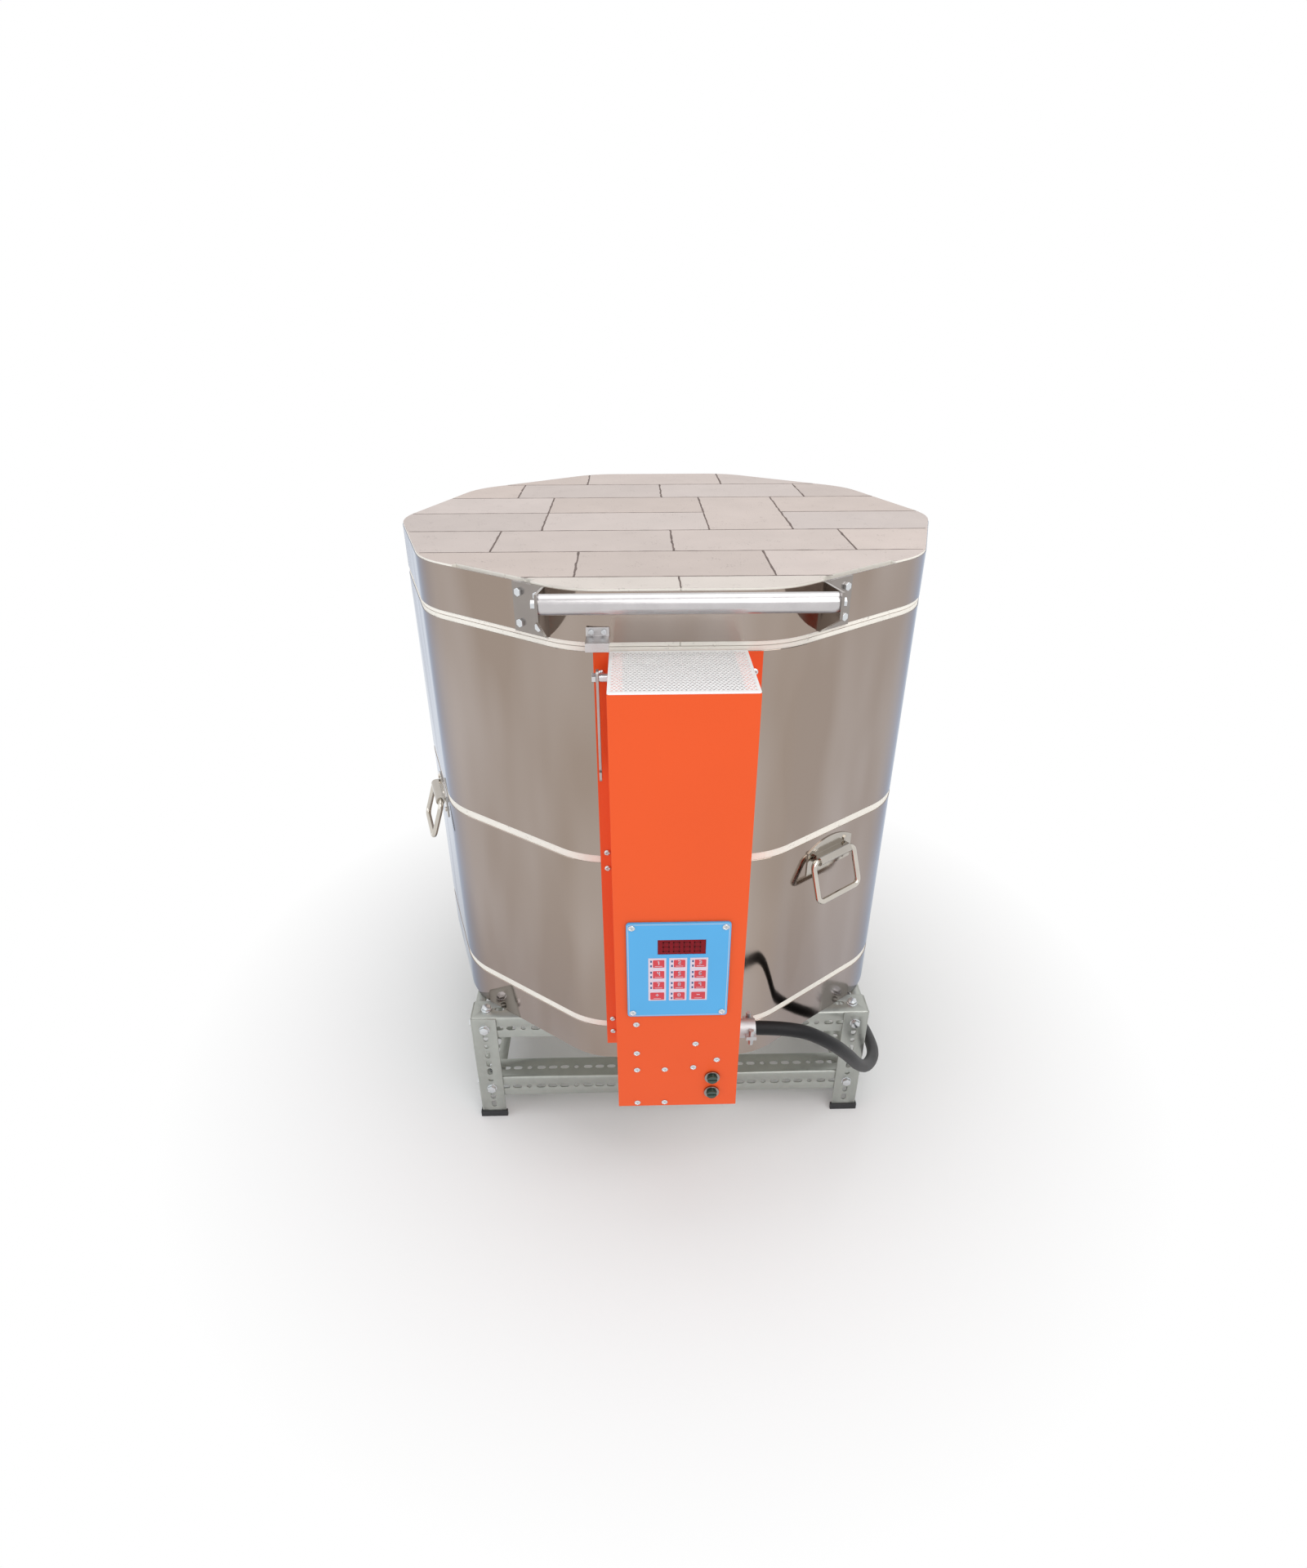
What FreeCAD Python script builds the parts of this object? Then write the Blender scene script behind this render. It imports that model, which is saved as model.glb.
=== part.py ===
import FreeCAD, Part
import math
import os

# A top-loading electric ceramic kiln: a ten-sided firebrick chamber in steel jackets, a hinged brick lid
# and a control box, on a stand of slotted steel angle.
# Millimetres, +Z up, the front with the control box towards -Y, the origin on the floor under the chamber's axis.

# Brickwork
facets = 10
chamber_across = 605.0
wall = 63.5
ring_height = 285.75
floor_thick = 67.0
lid_thick = 66.5
corner_round = 110.0
lid_seat_gap = 0.2
lid_brick_long = 228.6
lid_brick_wide = 114.3
lid_joint = 1.0
lid_brick_gap = 0.3
lid_row_start = -319.5
lid_front_joint = 2.0
lid_row_joints = {0: -117.0, 1: -228.0, 4: -232.4, 5: -126.0}
lid_middle_joint = -174.0
jacket_thick = 0.9
bare_edge = 4.0
lid_rim = 3.0

# Heating elements and what passes through the wall
rows_per_ring = 3
coil_diameter = 11.0
coil_clearance = 0.4
groove_lip = 4.0
lip_height = 5.0
groove_slack = 4.0
terminal_spread = 44.0
feedthrough_across = 10.0
feedthrough_reach = 14.0
window_half_width = 45.0
window_margin = 30.0
probe_across = 8.0
probe_inside = 25.0
probe_reach = 30.0
probe_head_wide = 28.0
probe_head_high = 20.0
probe_head_deep = 14.0

# Stand of slotted angle
stand_height = 217.5
stand_inset_x = 52.0
stand_inset_y = 80.0
flange = 40.0
angle_thick = 2.0
low_rail_top = 87.0
slot_pitch = 38.0
slot_long = 20.0
slot_wide = 8.0
slot_end = 22.0
cap_high = 12.0
cap_sole = 2.5
cap_wall = 2.0
bolt_across = 13.0
bolt_shank = 6.8
bolt_head = 5.3
bolt_tip = 3.0

# Control box
box_half_width = 78.0
box_deep = 122.0
box_below_rings = 28.5
box_below_seam = 4.0
sheet = 1.5
plate_half_width = 96.0
plate_below_box = 8.0
grille_hole_pitch = 16.0
grille_hole = 9.0
grille_border = 10.0
return_flange = 14.0
screw_across = 8.0
screw_high = 2.2
front_screws = ((-53, 148), (-53, 98), (-53, 68), (-17, 68), (20, 71), (22, 113), (50, 84), (-53, 7), (-17, 7))

# Controller on the box's front
panel_centre_x = -2.0
panel_up = 164.0
panel_wide = 123.0
panel_high = 145.0
panel_thick = 3.0
panel_round = 4.0
panel_screw_inset = 6.5
window_wide = 57.0
window_high = 22.0
window_from_top = 36.0
window_right = 4.0
window_sunk = 0.8
key_wide = 19.0
key_high = 13.5
key_pitch_x = 25.0
key_pitch_z = 17.0
key_columns = 3
key_rows = 4
key_top_from_top = 60.0
key_proud = 0.8
key_travel = 0.5
key_clearance = 0.35
board_gap = 12.0
board_thick = 1.6
board_margin = 8.0
board_post_inset = 4.0
board_post_wide = 6.0

# Parts on the back plate, inside the control box
relay_from_seam = 17.0
relay_wide = 48.0
relay_high = 28.0
relay_deep = 42.0
relay_foot_wide = 64.0
relay_foot_thick = 2.0
relay_blade_pitch = 14.0
relay_blade_wide = 6.0
relay_blade_high = 16.0
relay_blade_out = 10.0
core_x = (-58.0, -18.0)
core_up = 36.0
core_high = 48.0
core_deep = 34.0
winding_wide = 24.0
winding_high = 40.0
winding_out = 10.0
strip_high = 68.0
strip_deep = 16.0
strip_rib_out = 8.0
strip_rib_pitch = 22.0
strip_rib_thick = 2.0

# Fuses
fuse_from_side = 33.0
fuse_up = (53.0, 26.0)
fuse_ring_radius = 10.0
fuse_body_radius = 8.0
fuse_cap_radius = 6.4
fuse_ring_high = 3.0
fuse_cap_proud = 4.0
fuse_deep = 34.0
turn_clearance = 0.3
fuse_floor = 4.0
fuse_cap_short = 6.0
fuse_slot_wide = 1.8
fuse_slot_deep = 1.6

# Lid hinge
hinge_half_width = 75.0
hinge_offset = 13.0
knuckle_radius = 7.5
hinge_pin_radius = 4.5
pin_head_radius = 6.5
pin_head_long = 3.0
pin_play = 1.0
leaf_from_seam = 4.0
pin_fit = 0.06
leaf_thick = 2.5
leaf_high = 46.0
knuckle_gap = 0.5

# Lid handle
tube_radius = 11.0
tube_wall = 1.8
tube_plug = 12.0
tube_out = 43.1
tube_drop = 3.7
handle_shift = 8.0
handle_half = 156.0
bracket_thick = 3.0
bracket_wide = 48.0
bracket_high = 58.0
bracket_up = 5.6
web_tip_high = 29.0
web_tip_reach = 14.0
bracket_bolt_across = 9.0
bracket_bolt_head = 3.6
end_bolt_head = 5.6
web_root = 0.2
bolt_spread_x = 28.0
bolt_spread_z = 36.0
nut_pocket_deep = 7.0
nut_pocket_half = 62.0
nut_pocket_down = 50.0

# Lid prop and its catch
prop_long = 141.0
prop_wide = 12.0
prop_thick = 3.0
prop_from_box = 13.0
prop_out = 20.1
prop_pivot_down = 24.0
prop_pivot_radius = 3.0
prop_above_pivot = 10.0
prop_play = 0.2
prop_head_across = 10.0
prop_head_high = 4.5
prop_spacer_radius = 5.0
prop_notch_up = 14.0
prop_notch_high = 4.0
catch_sides = (12.0, 14.0)
catch_bolt_inset = 6.0
catch_bolt_up = 15.0
catch_bolt_across = 6.0
catch_bolt_head = 3.0
catch_reach = 27.0
catch_high = 20.0
catch_thick = 2.0
catch_lip = 10.0

# Lifting handles on the lower ring
handle_facets = {"front_right": 1, "front_left": 8, "rear_right": 3, "rear_left": 6}
plate_wide = 86.0
plate_high = 50.0
plate_thick = 1.5
plate_shoulder = 14.0
plate_top_gap = 8.0
plate_screw_inset = 14.0
plate_screw_down = 15.0
plate_screw_up = 7.0
plate_screw_across = 7.0
plate_screw_high = 2.0
barrel_radius = 7.0
barrel_long = 60.0
barrel_down = 27.0
bail_rod = 4.0
bail_wide = 88.0
bail_drop = 58.0
bail_lean = 18.0
bail_bend = 9.0
bail_grip = 16.0

# Power cord, a thick rubber-jacketed lead
cord_diameter = 19.0
clamp_ring_radius = 17.0
clamp_ring_thick = 5.0
clamp_body_radius = 13.0
clamp_out = 29.0
clamp_slack = 0.4
saddle_long = 14.0
saddle_wide = 40.0
saddle_thick = 6.0
saddle_screw_at = 16.5
saddle_screw_across = 6.0
saddle_screw_long = 24.0
cord_grip = 12.0
floor_clearance = 0.3
cord_out = 63.1
cord_up = 79.0
coil_centre_x = 150.0
coil_centre_y = 145.0
coil_mid_radius = 105.0
tail_long = 82.0
tail_side = 36.0
tail_inside = 6.0
tail_rise = 0.8
plug_radius = 29.0
plug_long = 62.0
plug_neck = 0.55
plug_taper = 0.45
blade_apart = 22.0
blade_thick = 2.0
blade_wide = 11.0
blade_raised = 2.5
blade_long = 18.0
earth_pin_radius = 3.2
earth_pin_long = 21.0
earth_pin_down = 11.0
run_share = 0.45
section_sides = 12

# Places worked out from the sizes above
half_turn = math.pi / facets
chamber_in = chamber_across / 2
brick_out = chamber_in + wall
skin = brick_out + jacket_thick
skin_round = corner_round + jacket_thick
flat_half = (brick_out - corner_round) * math.tan(half_turn)
ring_low = stand_height + floor_thick
seam_mid = ring_low + ring_height
seam_top = seam_mid + ring_height
lid_low = seam_top + lid_seat_gap
lid_top = lid_low + lid_thick
row_pitch = ring_height / rows_per_ring
groove_deep = groove_lip + coil_diameter + 2 * coil_clearance
groove_high = coil_diameter + coil_clearance + groove_slack
coil_ring = chamber_in + groove_lip + coil_clearance + coil_diameter / 2
plate_face = skin + sheet
stand_half_x = brick_out - stand_inset_x
stand_half_y = brick_out - stand_inset_y
box_low = ring_low - box_below_rings
box_high = seam_top - box_below_seam
plate_low = box_low - plate_below_box
panel_low = box_low + panel_up
core_z = box_low + core_up
fuse_x = box_half_width - fuse_from_side
fuse_z = [box_low + up for up in fuse_up]
tube_y = -(skin + tube_out)
tube_z = lid_top - tube_drop
bracket_low = lid_low + bracket_up
prop_x = -(box_half_width + prop_from_box)
prop_y = -(skin + prop_out)
prop_pivot_z = box_high - prop_pivot_down
catch_x = (prop_x - catch_sides[0], prop_x + catch_sides[1])
cord_y = -(skin + cord_out)
cord_z = box_low + cord_up
box_front = skin + box_deep
far = 2 * brick_out


def vec(x, y, z=0.0):
    return FreeCAD.Vector(x, y, z)


def block(x0, x1, y0, y1, z0, z1):
    return Part.makeBox(x1 - x0, y1 - y0, z1 - z0, vec(x0, y0, z0))


def rod(start, along, radius, length):
    return Part.makeCylinder(radius, length, start, along)


def prism(sides, across, start, along, length):
    """A regular bar with `sides` flats, `across` from flat to flat."""
    reach = across / 2 / math.cos(math.pi / sides)
    around = along.cross(vec(0, 0, 1)) if abs(along.z) < 0.9 else vec(1, 0, 0)
    around.normalize()
    corners = []
    for k in range(sides + 1):
        turn = FreeCAD.Rotation(along, 360.0 / sides * (k + 0.5))
        corners.append(start + turn.multVec(around) * reach)
    along = FreeCAD.Vector(along)
    along.normalize()
    return Part.Face(Part.makePolygon(corners)).extrude(along * length)


def extrude_profile(points, along):
    """A flat outline carried straight along a vector."""
    return Part.Face(Part.makePolygon(points + [points[0]])).extrude(along)


def facet_angle(number):
    """The way that a facet faces, in degrees; the facets are counted to the right from the front one, 0."""
    return 360.0 / facets * number - 90.0


def turned(shape, angle):
    """A piece drawn on the front facet, carried round to the facet that faces `angle`."""
    copy = shape.copy()
    copy.rotate(vec(0, 0, 0), vec(0, 0, 1), angle + 90.0)
    return copy


def mirrored(shape):
    return shape.mirror(vec(0, 0, 0), vec(1, 0, 0))


def save(node, shape):
    solids = shape if isinstance(shape, list) else [shape]
    whole = []
    for one in solids:
        whole.extend(one.Solids)
    Part.Compound(whole).exportStep(os.path.join("parts", node + ".step"))


def decagon(inradius, corner, z0, z1):
    """A ten-sided column with flats `inradius` from the axis, whose sides meet in arcs of `corner`."""
    reach = (inradius - corner) / math.cos(half_turn)
    side = (inradius - corner) * math.tan(half_turn)
    starts = []
    ends = []
    middles = []
    for k in range(facets):
        outward = 2 * half_turn * k - math.pi / 2
        normal = vec(math.cos(outward), math.sin(outward), 0)
        tangent = vec(-math.sin(outward), math.cos(outward), 0)
        starts.append(normal * inradius - tangent * side + vec(0, 0, z0))
        ends.append(normal * inradius + tangent * side + vec(0, 0, z0))
        corner_way = vec(math.cos(outward + half_turn), math.sin(outward + half_turn), 0)
        middles.append(corner_way * (reach + corner) + vec(0, 0, z0))
    edges = []
    for k in range(facets):
        following = starts[(k + 1) % facets]
        edges.append(Part.LineSegment(starts[k], ends[k]).toShape())
        if corner > 0:
            edges.append(Part.Arc(ends[k], middles[k], following).toShape())
    return Part.Face(Part.Wire(edges)).extrude(vec(0, 0, z1 - z0))


def wedge(z0, z1):
    """The tenth of the plan that belongs to the front facet."""
    side = far * math.tan(half_turn)
    return extrude_profile([vec(0, 0, z0), vec(-side, -far, z0), vec(side, -far, z0)], vec(0, 0, z1 - z0))


def row_levels(base):
    return [base + row_pitch * (k + 0.5) for k in range(rows_per_ring)]


def coil_level(row):
    return row - groove_high / 2 + coil_clearance + coil_diameter / 2


def probe_level():
    return seam_mid + row_pitch


# Brickwork

def stave(base):
    """One facet of a brick ring, with a dropped groove for each element that keeps the coil behind a lip."""
    body = decagon(brick_out, corner_round, base, base + ring_height)
    body = body.common(wedge(base, base + ring_height))
    body = body.cut(block(-far, far, -chamber_in, 1, base - 1, base + ring_height + 1))
    for row in row_levels(base):
        low = row - groove_high / 2
        high = row + groove_high / 2
        mouth = block(-far, far, -(chamber_in + groove_deep), 0, low + lip_height, high)
        pocket = block(-far, far, -(chamber_in + groove_deep), -(chamber_in + groove_lip), low, low + lip_height)
        body = body.cut(mouth).cut(pocket)
    return body


def drilled_stave(body, base):
    """The front stave, bored for the element terminals and, in the upper ring, for the temperature probe."""
    for row in row_levels(base):
        for x in (-terminal_spread / 2, terminal_spread / 2):
            start = vec(x, 0, coil_level(row))
            body = body.cut(prism(8, feedthrough_across, start, vec(0, -1, 0), far))
    if base == seam_mid:
        body = body.cut(prism(8, probe_across, vec(0, 0, probe_level()), vec(0, -1, 0), far))
    return body


def brick_ring(base):
    plain = stave(base)
    pieces = [drilled_stave(plain, base)]
    for k in range(1, facets):
        pieces.append(turned(plain, facet_angle(k)))
    return pieces


def floor_slab():
    return decagon(brick_out, corner_round, stand_height, ring_low)


def jacket(z0, z1, windowed):
    """A band of thin steel that hugs the brick, with an opening for the terminals behind the control box."""
    band = decagon(skin, skin_round, z0, z1).cut(decagon(brick_out, corner_round, z0 - 1, z1 + 1))
    if windowed:
        gap = block(-window_half_width, window_half_width, -far, 0, z0 + window_margin, z1 - window_margin)
        band = band.cut(gap)
    return band


def lid_brick_cells():
    """Plan rectangles of the lid's bricks: staggered rows, with one brick laid across in the middle."""
    long_pitch = lid_brick_long + lid_joint
    wide_pitch = lid_brick_wide + lid_joint
    row = [lid_row_start + wide_pitch * k for k in range(6)]
    left = lid_middle_joint
    cells = [(-far, lid_front_joint, -far, row[0]), (lid_front_joint, far, -far, row[0])]
    for k, joint in lid_row_joints.items():
        back = row[k + 1] if k < 5 else far
        x = joint
        cells.append((-far, x, row[k], back))
        while x + long_pitch < brick_out:
            cells.append((x, x + long_pitch, row[k], back))
            x += long_pitch
        cells.append((x, far, row[k], back))
    cross = left + long_pitch
    for k in (2, 3):
        cells.append((-far, left, row[k], row[k + 1]))
        cells.append((left, cross, row[k], row[k + 1]))
        cells.append((cross + wide_pitch, far, row[k], row[k + 1]))
    cells.append((cross, cross + wide_pitch, row[2], row[4]))
    return cells


def nut_pocket():
    """A shallow recess in the lid's edge behind a handle bracket, for the bolts' nuts."""
    return block(-nut_pocket_half, nut_pocket_half, -far, -(brick_out - nut_pocket_deep),
                 lid_top - nut_pocket_down, lid_top + 1)


def lid_bricks():
    outline = decagon(brick_out, corner_round, lid_low, lid_top)
    for side in (-1, 1):
        outline = outline.cut(turned(nut_pocket(), facet_angle(side)))
    gap = lid_brick_gap / 2
    bricks = []
    for x0, x1, y0, y1 in lid_brick_cells():
        cell = block(x0 + gap, x1 - gap, y0 + gap, y1 - gap, lid_low - 1, lid_top + 1)
        bricks.append(outline.common(cell))
    return bricks


def lid_band():
    return jacket(lid_low + bare_edge, lid_top - lid_rim, False)


# Elements, terminals and probe

def element_row(level):
    """One heating element as its coil's envelope, ten straight runs that leave a gap at the front terminals."""
    half = coil_ring * math.tan(half_turn)
    slice_ = wedge(level - coil_diameter, level + coil_diameter)
    bar = prism(8, coil_diameter, vec(-2 * half, -coil_ring, level), vec(1, 0, 0), 4 * half)
    run = bar.common(slice_)
    gap = block(-terminal_spread / 2, terminal_spread / 2, -far, 0, level - coil_diameter, level + coil_diameter)
    runs = [run.cut(gap)]
    for k in range(1, facets):
        runs.append(turned(run, facet_angle(k)))
    return runs[0].multiFuse(runs[1:])


def heating_elements():
    first = row_levels(ring_low)[0]
    pattern = element_row(coil_level(first))
    rows = []
    for base in (ring_low, seam_mid):
        for row in row_levels(base):
            copy = pattern.copy()
            copy.translate(vec(0, 0, row - first))
            rows.append(copy)
    return rows


def element_feedthroughs():
    """Porcelain bushings from the back of each groove to the inside of the control box."""
    start = chamber_in + groove_deep
    length = skin + feedthrough_reach - start
    bushings = []
    for base in (ring_low, seam_mid):
        for row in row_levels(base):
            for x in (-terminal_spread / 2, terminal_spread / 2):
                bushings.append(prism(8, feedthrough_across, vec(x, -start, coil_level(row)), vec(0, -1, 0), length))
    return bushings


def thermocouple():
    tip = chamber_in - probe_inside
    sheath = prism(8, probe_across, vec(0, -tip, probe_level()), vec(0, -1, 0), skin + probe_reach - tip)
    back = -(skin + probe_reach)
    head = block(-probe_head_wide / 2, probe_head_wide / 2, back - probe_head_deep, back,
                 probe_level() - probe_head_high / 2, probe_level() + probe_head_high / 2)
    return sheath.fuse(head)


# Stand

def angle_bar(length):
    """Steel angle along +X, its outer corner on the X axis, one flange down and one flange back."""
    outline = [vec(0, 0, 0), vec(0, 0, -flange), vec(0, angle_thick, -flange), vec(0, angle_thick, -angle_thick),
               vec(0, flange, -angle_thick), vec(0, flange, 0)]
    return extrude_profile(outline, vec(length, 0, 0))


def slot_places(first, last):
    """Evenly spaced places from the first to the last, as near to the slot pitch as they can be."""
    spaces = max(1, round(abs(last - first) / slot_pitch))
    return [first + (last - first) * k / spaces for k in range(spaces + 1)]


def slotted_bar(length, down_places, back_places):
    bar = angle_bar(length)
    cuts = []
    mid = flange / 2 + angle_thick / 2
    for x in down_places:
        cuts.append(block(x - slot_long / 2, x + slot_long / 2, -1, angle_thick + 1,
                          -mid - slot_wide / 2, -mid + slot_wide / 2))
    for x in back_places:
        cuts.append(block(x - slot_long / 2, x + slot_long / 2, mid - slot_wide / 2, mid + slot_wide / 2,
                          -angle_thick - 1, 1))
    return bar.cut(cuts) if cuts else bar


def rail_pair(length, top, offset, turn, top_slotted):
    """Two rails that face each other across the stand."""
    ends = (slot_end, length - slot_end)
    back = slot_places(*ends) if top_slotted else list(ends)
    bar = slotted_bar(length, slot_places(*ends), back)
    bar.translate(vec(-length / 2, -offset, top))
    bar.rotate(vec(0, 0, 0), vec(0, 0, 1), turn)
    opposite = bar.copy()
    opposite.rotate(vec(0, 0, 0), vec(0, 0, 1), 180.0)
    return [bar, opposite]


def rails(top, top_slotted):
    """Front and rear rails with the side rails' flanges lapped one sheet lower under them."""
    across = 2 * (stand_half_x - angle_thick)
    along = 2 * (stand_half_y - 2 * angle_thick)
    front_rear = rail_pair(across, top, stand_half_y - angle_thick, 0.0, top_slotted)
    sides = rail_pair(along, top - angle_thick, stand_half_x - angle_thick, 90.0, top_slotted)
    return front_rear + sides


def top_bolt_z():
    return stand_height - flange / 2 - angle_thick / 2


def low_bolt_z():
    return low_rail_top - flange / 2 - angle_thick / 2


def corner(shape, sx, sy):
    """A piece drawn at the front left corner, carried to another corner of the stand."""
    copy = shape.copy()
    if sx > 0:
        copy = copy.mirror(vec(0, 0, 0), vec(1, 0, 0))
    if sy > 0:
        copy = copy.mirror(vec(0, 0, 0), vec(0, 1, 0))
    return copy


def all_corners(shapes):
    found = []
    for sx in (-1, 1):
        for sy in (-1, 1):
            for one in shapes:
                found.append(corner(one, sx, sy))
    return found


def leg_section(grow, inner, z0, z1):
    x0 = -stand_half_x - grow
    y0 = -stand_half_y - grow
    x1 = -stand_half_x + flange + grow
    y1 = -stand_half_y + flange + grow
    outline = [vec(x0, y0, z0), vec(x1, y0, z0), vec(x1, y0 + inner, z0), vec(x0 + inner, y0 + inner, z0),
               vec(x0 + inner, y1, z0), vec(x0, y1, z0)]
    return extrude_profile(outline, vec(0, 0, z1 - z0))


def stand_legs():
    leg = leg_section(0.0, angle_thick, cap_sole, stand_height)
    mid = flange / 2 + angle_thick / 2
    places = slot_places(low_bolt_z(), top_bolt_z())
    cuts = []
    for z in places:
        low = z - slot_long / 2
        high = z + slot_long / 2
        cuts.append(block(-stand_half_x + mid - slot_wide / 2, -stand_half_x + mid + slot_wide / 2,
                          -stand_half_y - 1, -stand_half_y + angle_thick + 1, low, high))
        cuts.append(block(-stand_half_x - 1, -stand_half_x + angle_thick + 1,
                          -stand_half_y + mid - slot_wide / 2, -stand_half_y + mid + slot_wide / 2, low, high))
    return all_corners([leg.cut(cuts)])


def foot_caps():
    """Moulded caps that close the legs' lower ends and stand on the floor."""
    cap = leg_section(cap_wall, 2 * cap_wall + angle_thick, 0.0, cap_high)
    cap = cap.cut(leg_section(0.0, angle_thick, cap_sole, cap_high + 1))
    return all_corners([cap])


def bolt(head_face, into, grip):
    """A hexagon bolt whose head bears on `head_face`; its nut closes on the far side of the grip."""
    head = prism(6, bolt_across, head_face, into * -1, bolt_head)
    shank = prism(6, bolt_shank, head_face - into, into, grip + bolt_head + bolt_tip)
    nut = prism(6, bolt_across, head_face + into * grip, into, bolt_head)
    return head.fuse([shank, nut])


def stand_bolts():
    mid = flange / 2 + angle_thick / 2
    bolts = []
    for z, side_drop in ((top_bolt_z(), angle_thick), (low_bolt_z(), angle_thick)):
        bolts.append(bolt(vec(-stand_half_x + mid, -stand_half_y, z), vec(0, 1, 0), 2 * angle_thick))
        bolts.append(bolt(vec(-stand_half_x, -stand_half_y + mid, z - side_drop), vec(1, 0, 0), 2 * angle_thick))
    for top in (stand_height, low_rail_top):
        place = vec(-stand_half_x + angle_thick + mid, -stand_half_y + angle_thick + mid, top)
        bolts.append(bolt(place, vec(0, 0, -1), 2 * angle_thick))
    return all_corners(bolts)


# Control box

def rounded_plate(x0, x1, z0, z1, y0, y1, radius):
    """An upright plate with rounded corners, from y0 to y1."""
    plate = block(x0, x1, y0, y1, z0, z1)
    upright = [e for e in plate.Edges if abs(e.Vertexes[0].Y - e.Vertexes[1].Y) > 0.5 * (y1 - y0)]
    return plate.makeFillet(radius, upright)


def box_back_plate():
    plate = block(-plate_half_width, plate_half_width, -plate_face, -skin, plate_low, box_high - sheet)
    for base in (ring_low, seam_mid):
        gap = block(-window_half_width, window_half_width, -far, 0,
                    base + bare_edge + window_margin, base + ring_height - bare_edge - window_margin)
        plate = plate.cut(gap)
    return plate


def panel_cutout():
    x0 = panel_centre_x - panel_wide / 2 + panel_screw_inset * 2
    x1 = panel_centre_x + panel_wide / 2 - panel_screw_inset * 2
    z0 = panel_low + panel_screw_inset * 2
    z1 = panel_low + panel_high - panel_screw_inset * 2
    return block(x0, x1, -box_front - 1, -box_front + sheet + 1, z0, z1)


def box_cover():
    """A folded steel cover, open at the back and top, with short returns that carry the grille."""
    top = box_high - sheet
    outer = block(-box_half_width, box_half_width, -box_front, -plate_face, box_low, top)
    inner = block(-box_half_width + sheet, box_half_width - sheet, -box_front + sheet, 0, box_low + sheet, top + 1)
    shell = outer.cut(inner)
    for side in (-1, 1):
        edge = side * (box_half_width - sheet)
        lip_x = sorted((edge, edge - side * return_flange))
        shell = shell.fuse(block(lip_x[0], lip_x[1], -box_front + sheet, -plate_face, top - sheet, top))
        foot_x = sorted((edge, edge - side * return_flange))
        shell = shell.fuse(block(foot_x[0], foot_x[1], -plate_face - sheet, -plate_face, box_low + sheet, top - sheet))
    shell = shell.cut(panel_cutout())
    for z in fuse_z:
        shell = shell.cut(rod(vec(fuse_x, -box_front - 1, z), vec(0, 1, 0), fuse_body_radius, sheet + 2))
    entry = rod(vec(box_half_width - sheet - 1, cord_y, cord_z), vec(1, 0, 0), clamp_body_radius, sheet + 2)
    return shell.cut(entry).removeSplitter()


def top_grille():
    """A perforated steel lid for the control box, with a plain border."""
    low = box_high - sheet
    grille = block(-box_half_width, box_half_width, -box_front, -skin - turn_clearance, low, box_high)
    inner_x = box_half_width - grille_border
    inner_front = box_front - grille_border
    inner_back = plate_face + grille_border
    columns = int(2 * inner_x / grille_hole_pitch)
    rows = int((inner_front - inner_back) / grille_hole_pitch)
    cuts = []
    for i in range(columns):
        for j in range(rows):
            x = (i - (columns - 1) / 2) * grille_hole_pitch
            y = -(inner_front + inner_back) / 2 + (j - (rows - 1) / 2) * grille_hole_pitch
            cuts.append(block(x - grille_hole / 2, x + grille_hole / 2, y - grille_hole / 2, y + grille_hole / 2,
                              low - 1, box_high + 1))
    return grille.cut(cuts)


def screw(face, outward):
    return prism(8, screw_across, face, outward, screw_high)


def box_screws():
    """Pan-head screws: the cover's, the controller's and the back plate's."""
    front = []
    for x, z in front_screws:
        front.append(screw(vec(x, -box_front, box_low + z), vec(0, -1, 0)))
    panel_face = -(box_front + panel_thick)
    for sx in (-1, 1):
        for z in (panel_low + panel_screw_inset, panel_low + panel_high - panel_screw_inset):
            x = panel_centre_x + sx * (panel_wide / 2 - panel_screw_inset)
            front.append(screw(vec(x, panel_face, z), vec(0, -1, 0)))
    edge = (box_half_width + plate_half_width) / 2
    levels = [seam_mid + bare_edge * 3, seam_mid - bare_edge * 3, ring_low + bare_edge * 3, ring_low - bare_edge * 3]
    levels.append(seam_top - window_margin)
    for side in (-1, 1):
        for z in levels:
            front.append(screw(vec(side * edge, -plate_face, z), vec(0, -1, 0)))
    return front


def panel_top():
    return panel_low + panel_high


def key_places():
    places = []
    for row in range(key_rows):
        for column in range(key_columns):
            x = panel_centre_x + (column - (key_columns - 1) / 2) * key_pitch_x
            z = panel_top() - key_top_from_top - row * key_pitch_z
            places.append((x, z))
    return places


def controller_plate():
    x0 = panel_centre_x - panel_wide / 2
    plate = rounded_plate(x0, x0 + panel_wide, panel_low, panel_top(), -box_front - panel_thick, -box_front,
                          panel_round)
    cuts = [display_block(0.0, -box_front - panel_thick - 1, -box_front + 1)]
    for x, z in key_places():
        half_x = key_wide / 2 + key_clearance
        half_z = key_high / 2 + key_clearance
        cuts.append(block(x - half_x, x + half_x, -box_front - panel_thick - 1, -box_front + 1, z - half_z, z + half_z))
    return plate.cut(cuts)


def display_block(grow, y0, y1):
    x = panel_centre_x + window_right
    z = panel_top() - window_from_top
    return block(x - window_wide / 2 - grow, x + window_wide / 2 + grow, y0, y1,
                 z - window_high / 2 - grow, z + window_high / 2 + grow)


def display_window():
    return display_block(0.0, -box_front - panel_thick + window_sunk, -box_front)


def key(x, z):
    """A key cap that stands proud of the plate by more than its travel."""
    front = -box_front - panel_thick - key_proud
    back = -box_front - key_travel
    return block(x - key_wide / 2, x + key_wide / 2, front, back, z - key_high / 2, z + key_high / 2)


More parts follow.
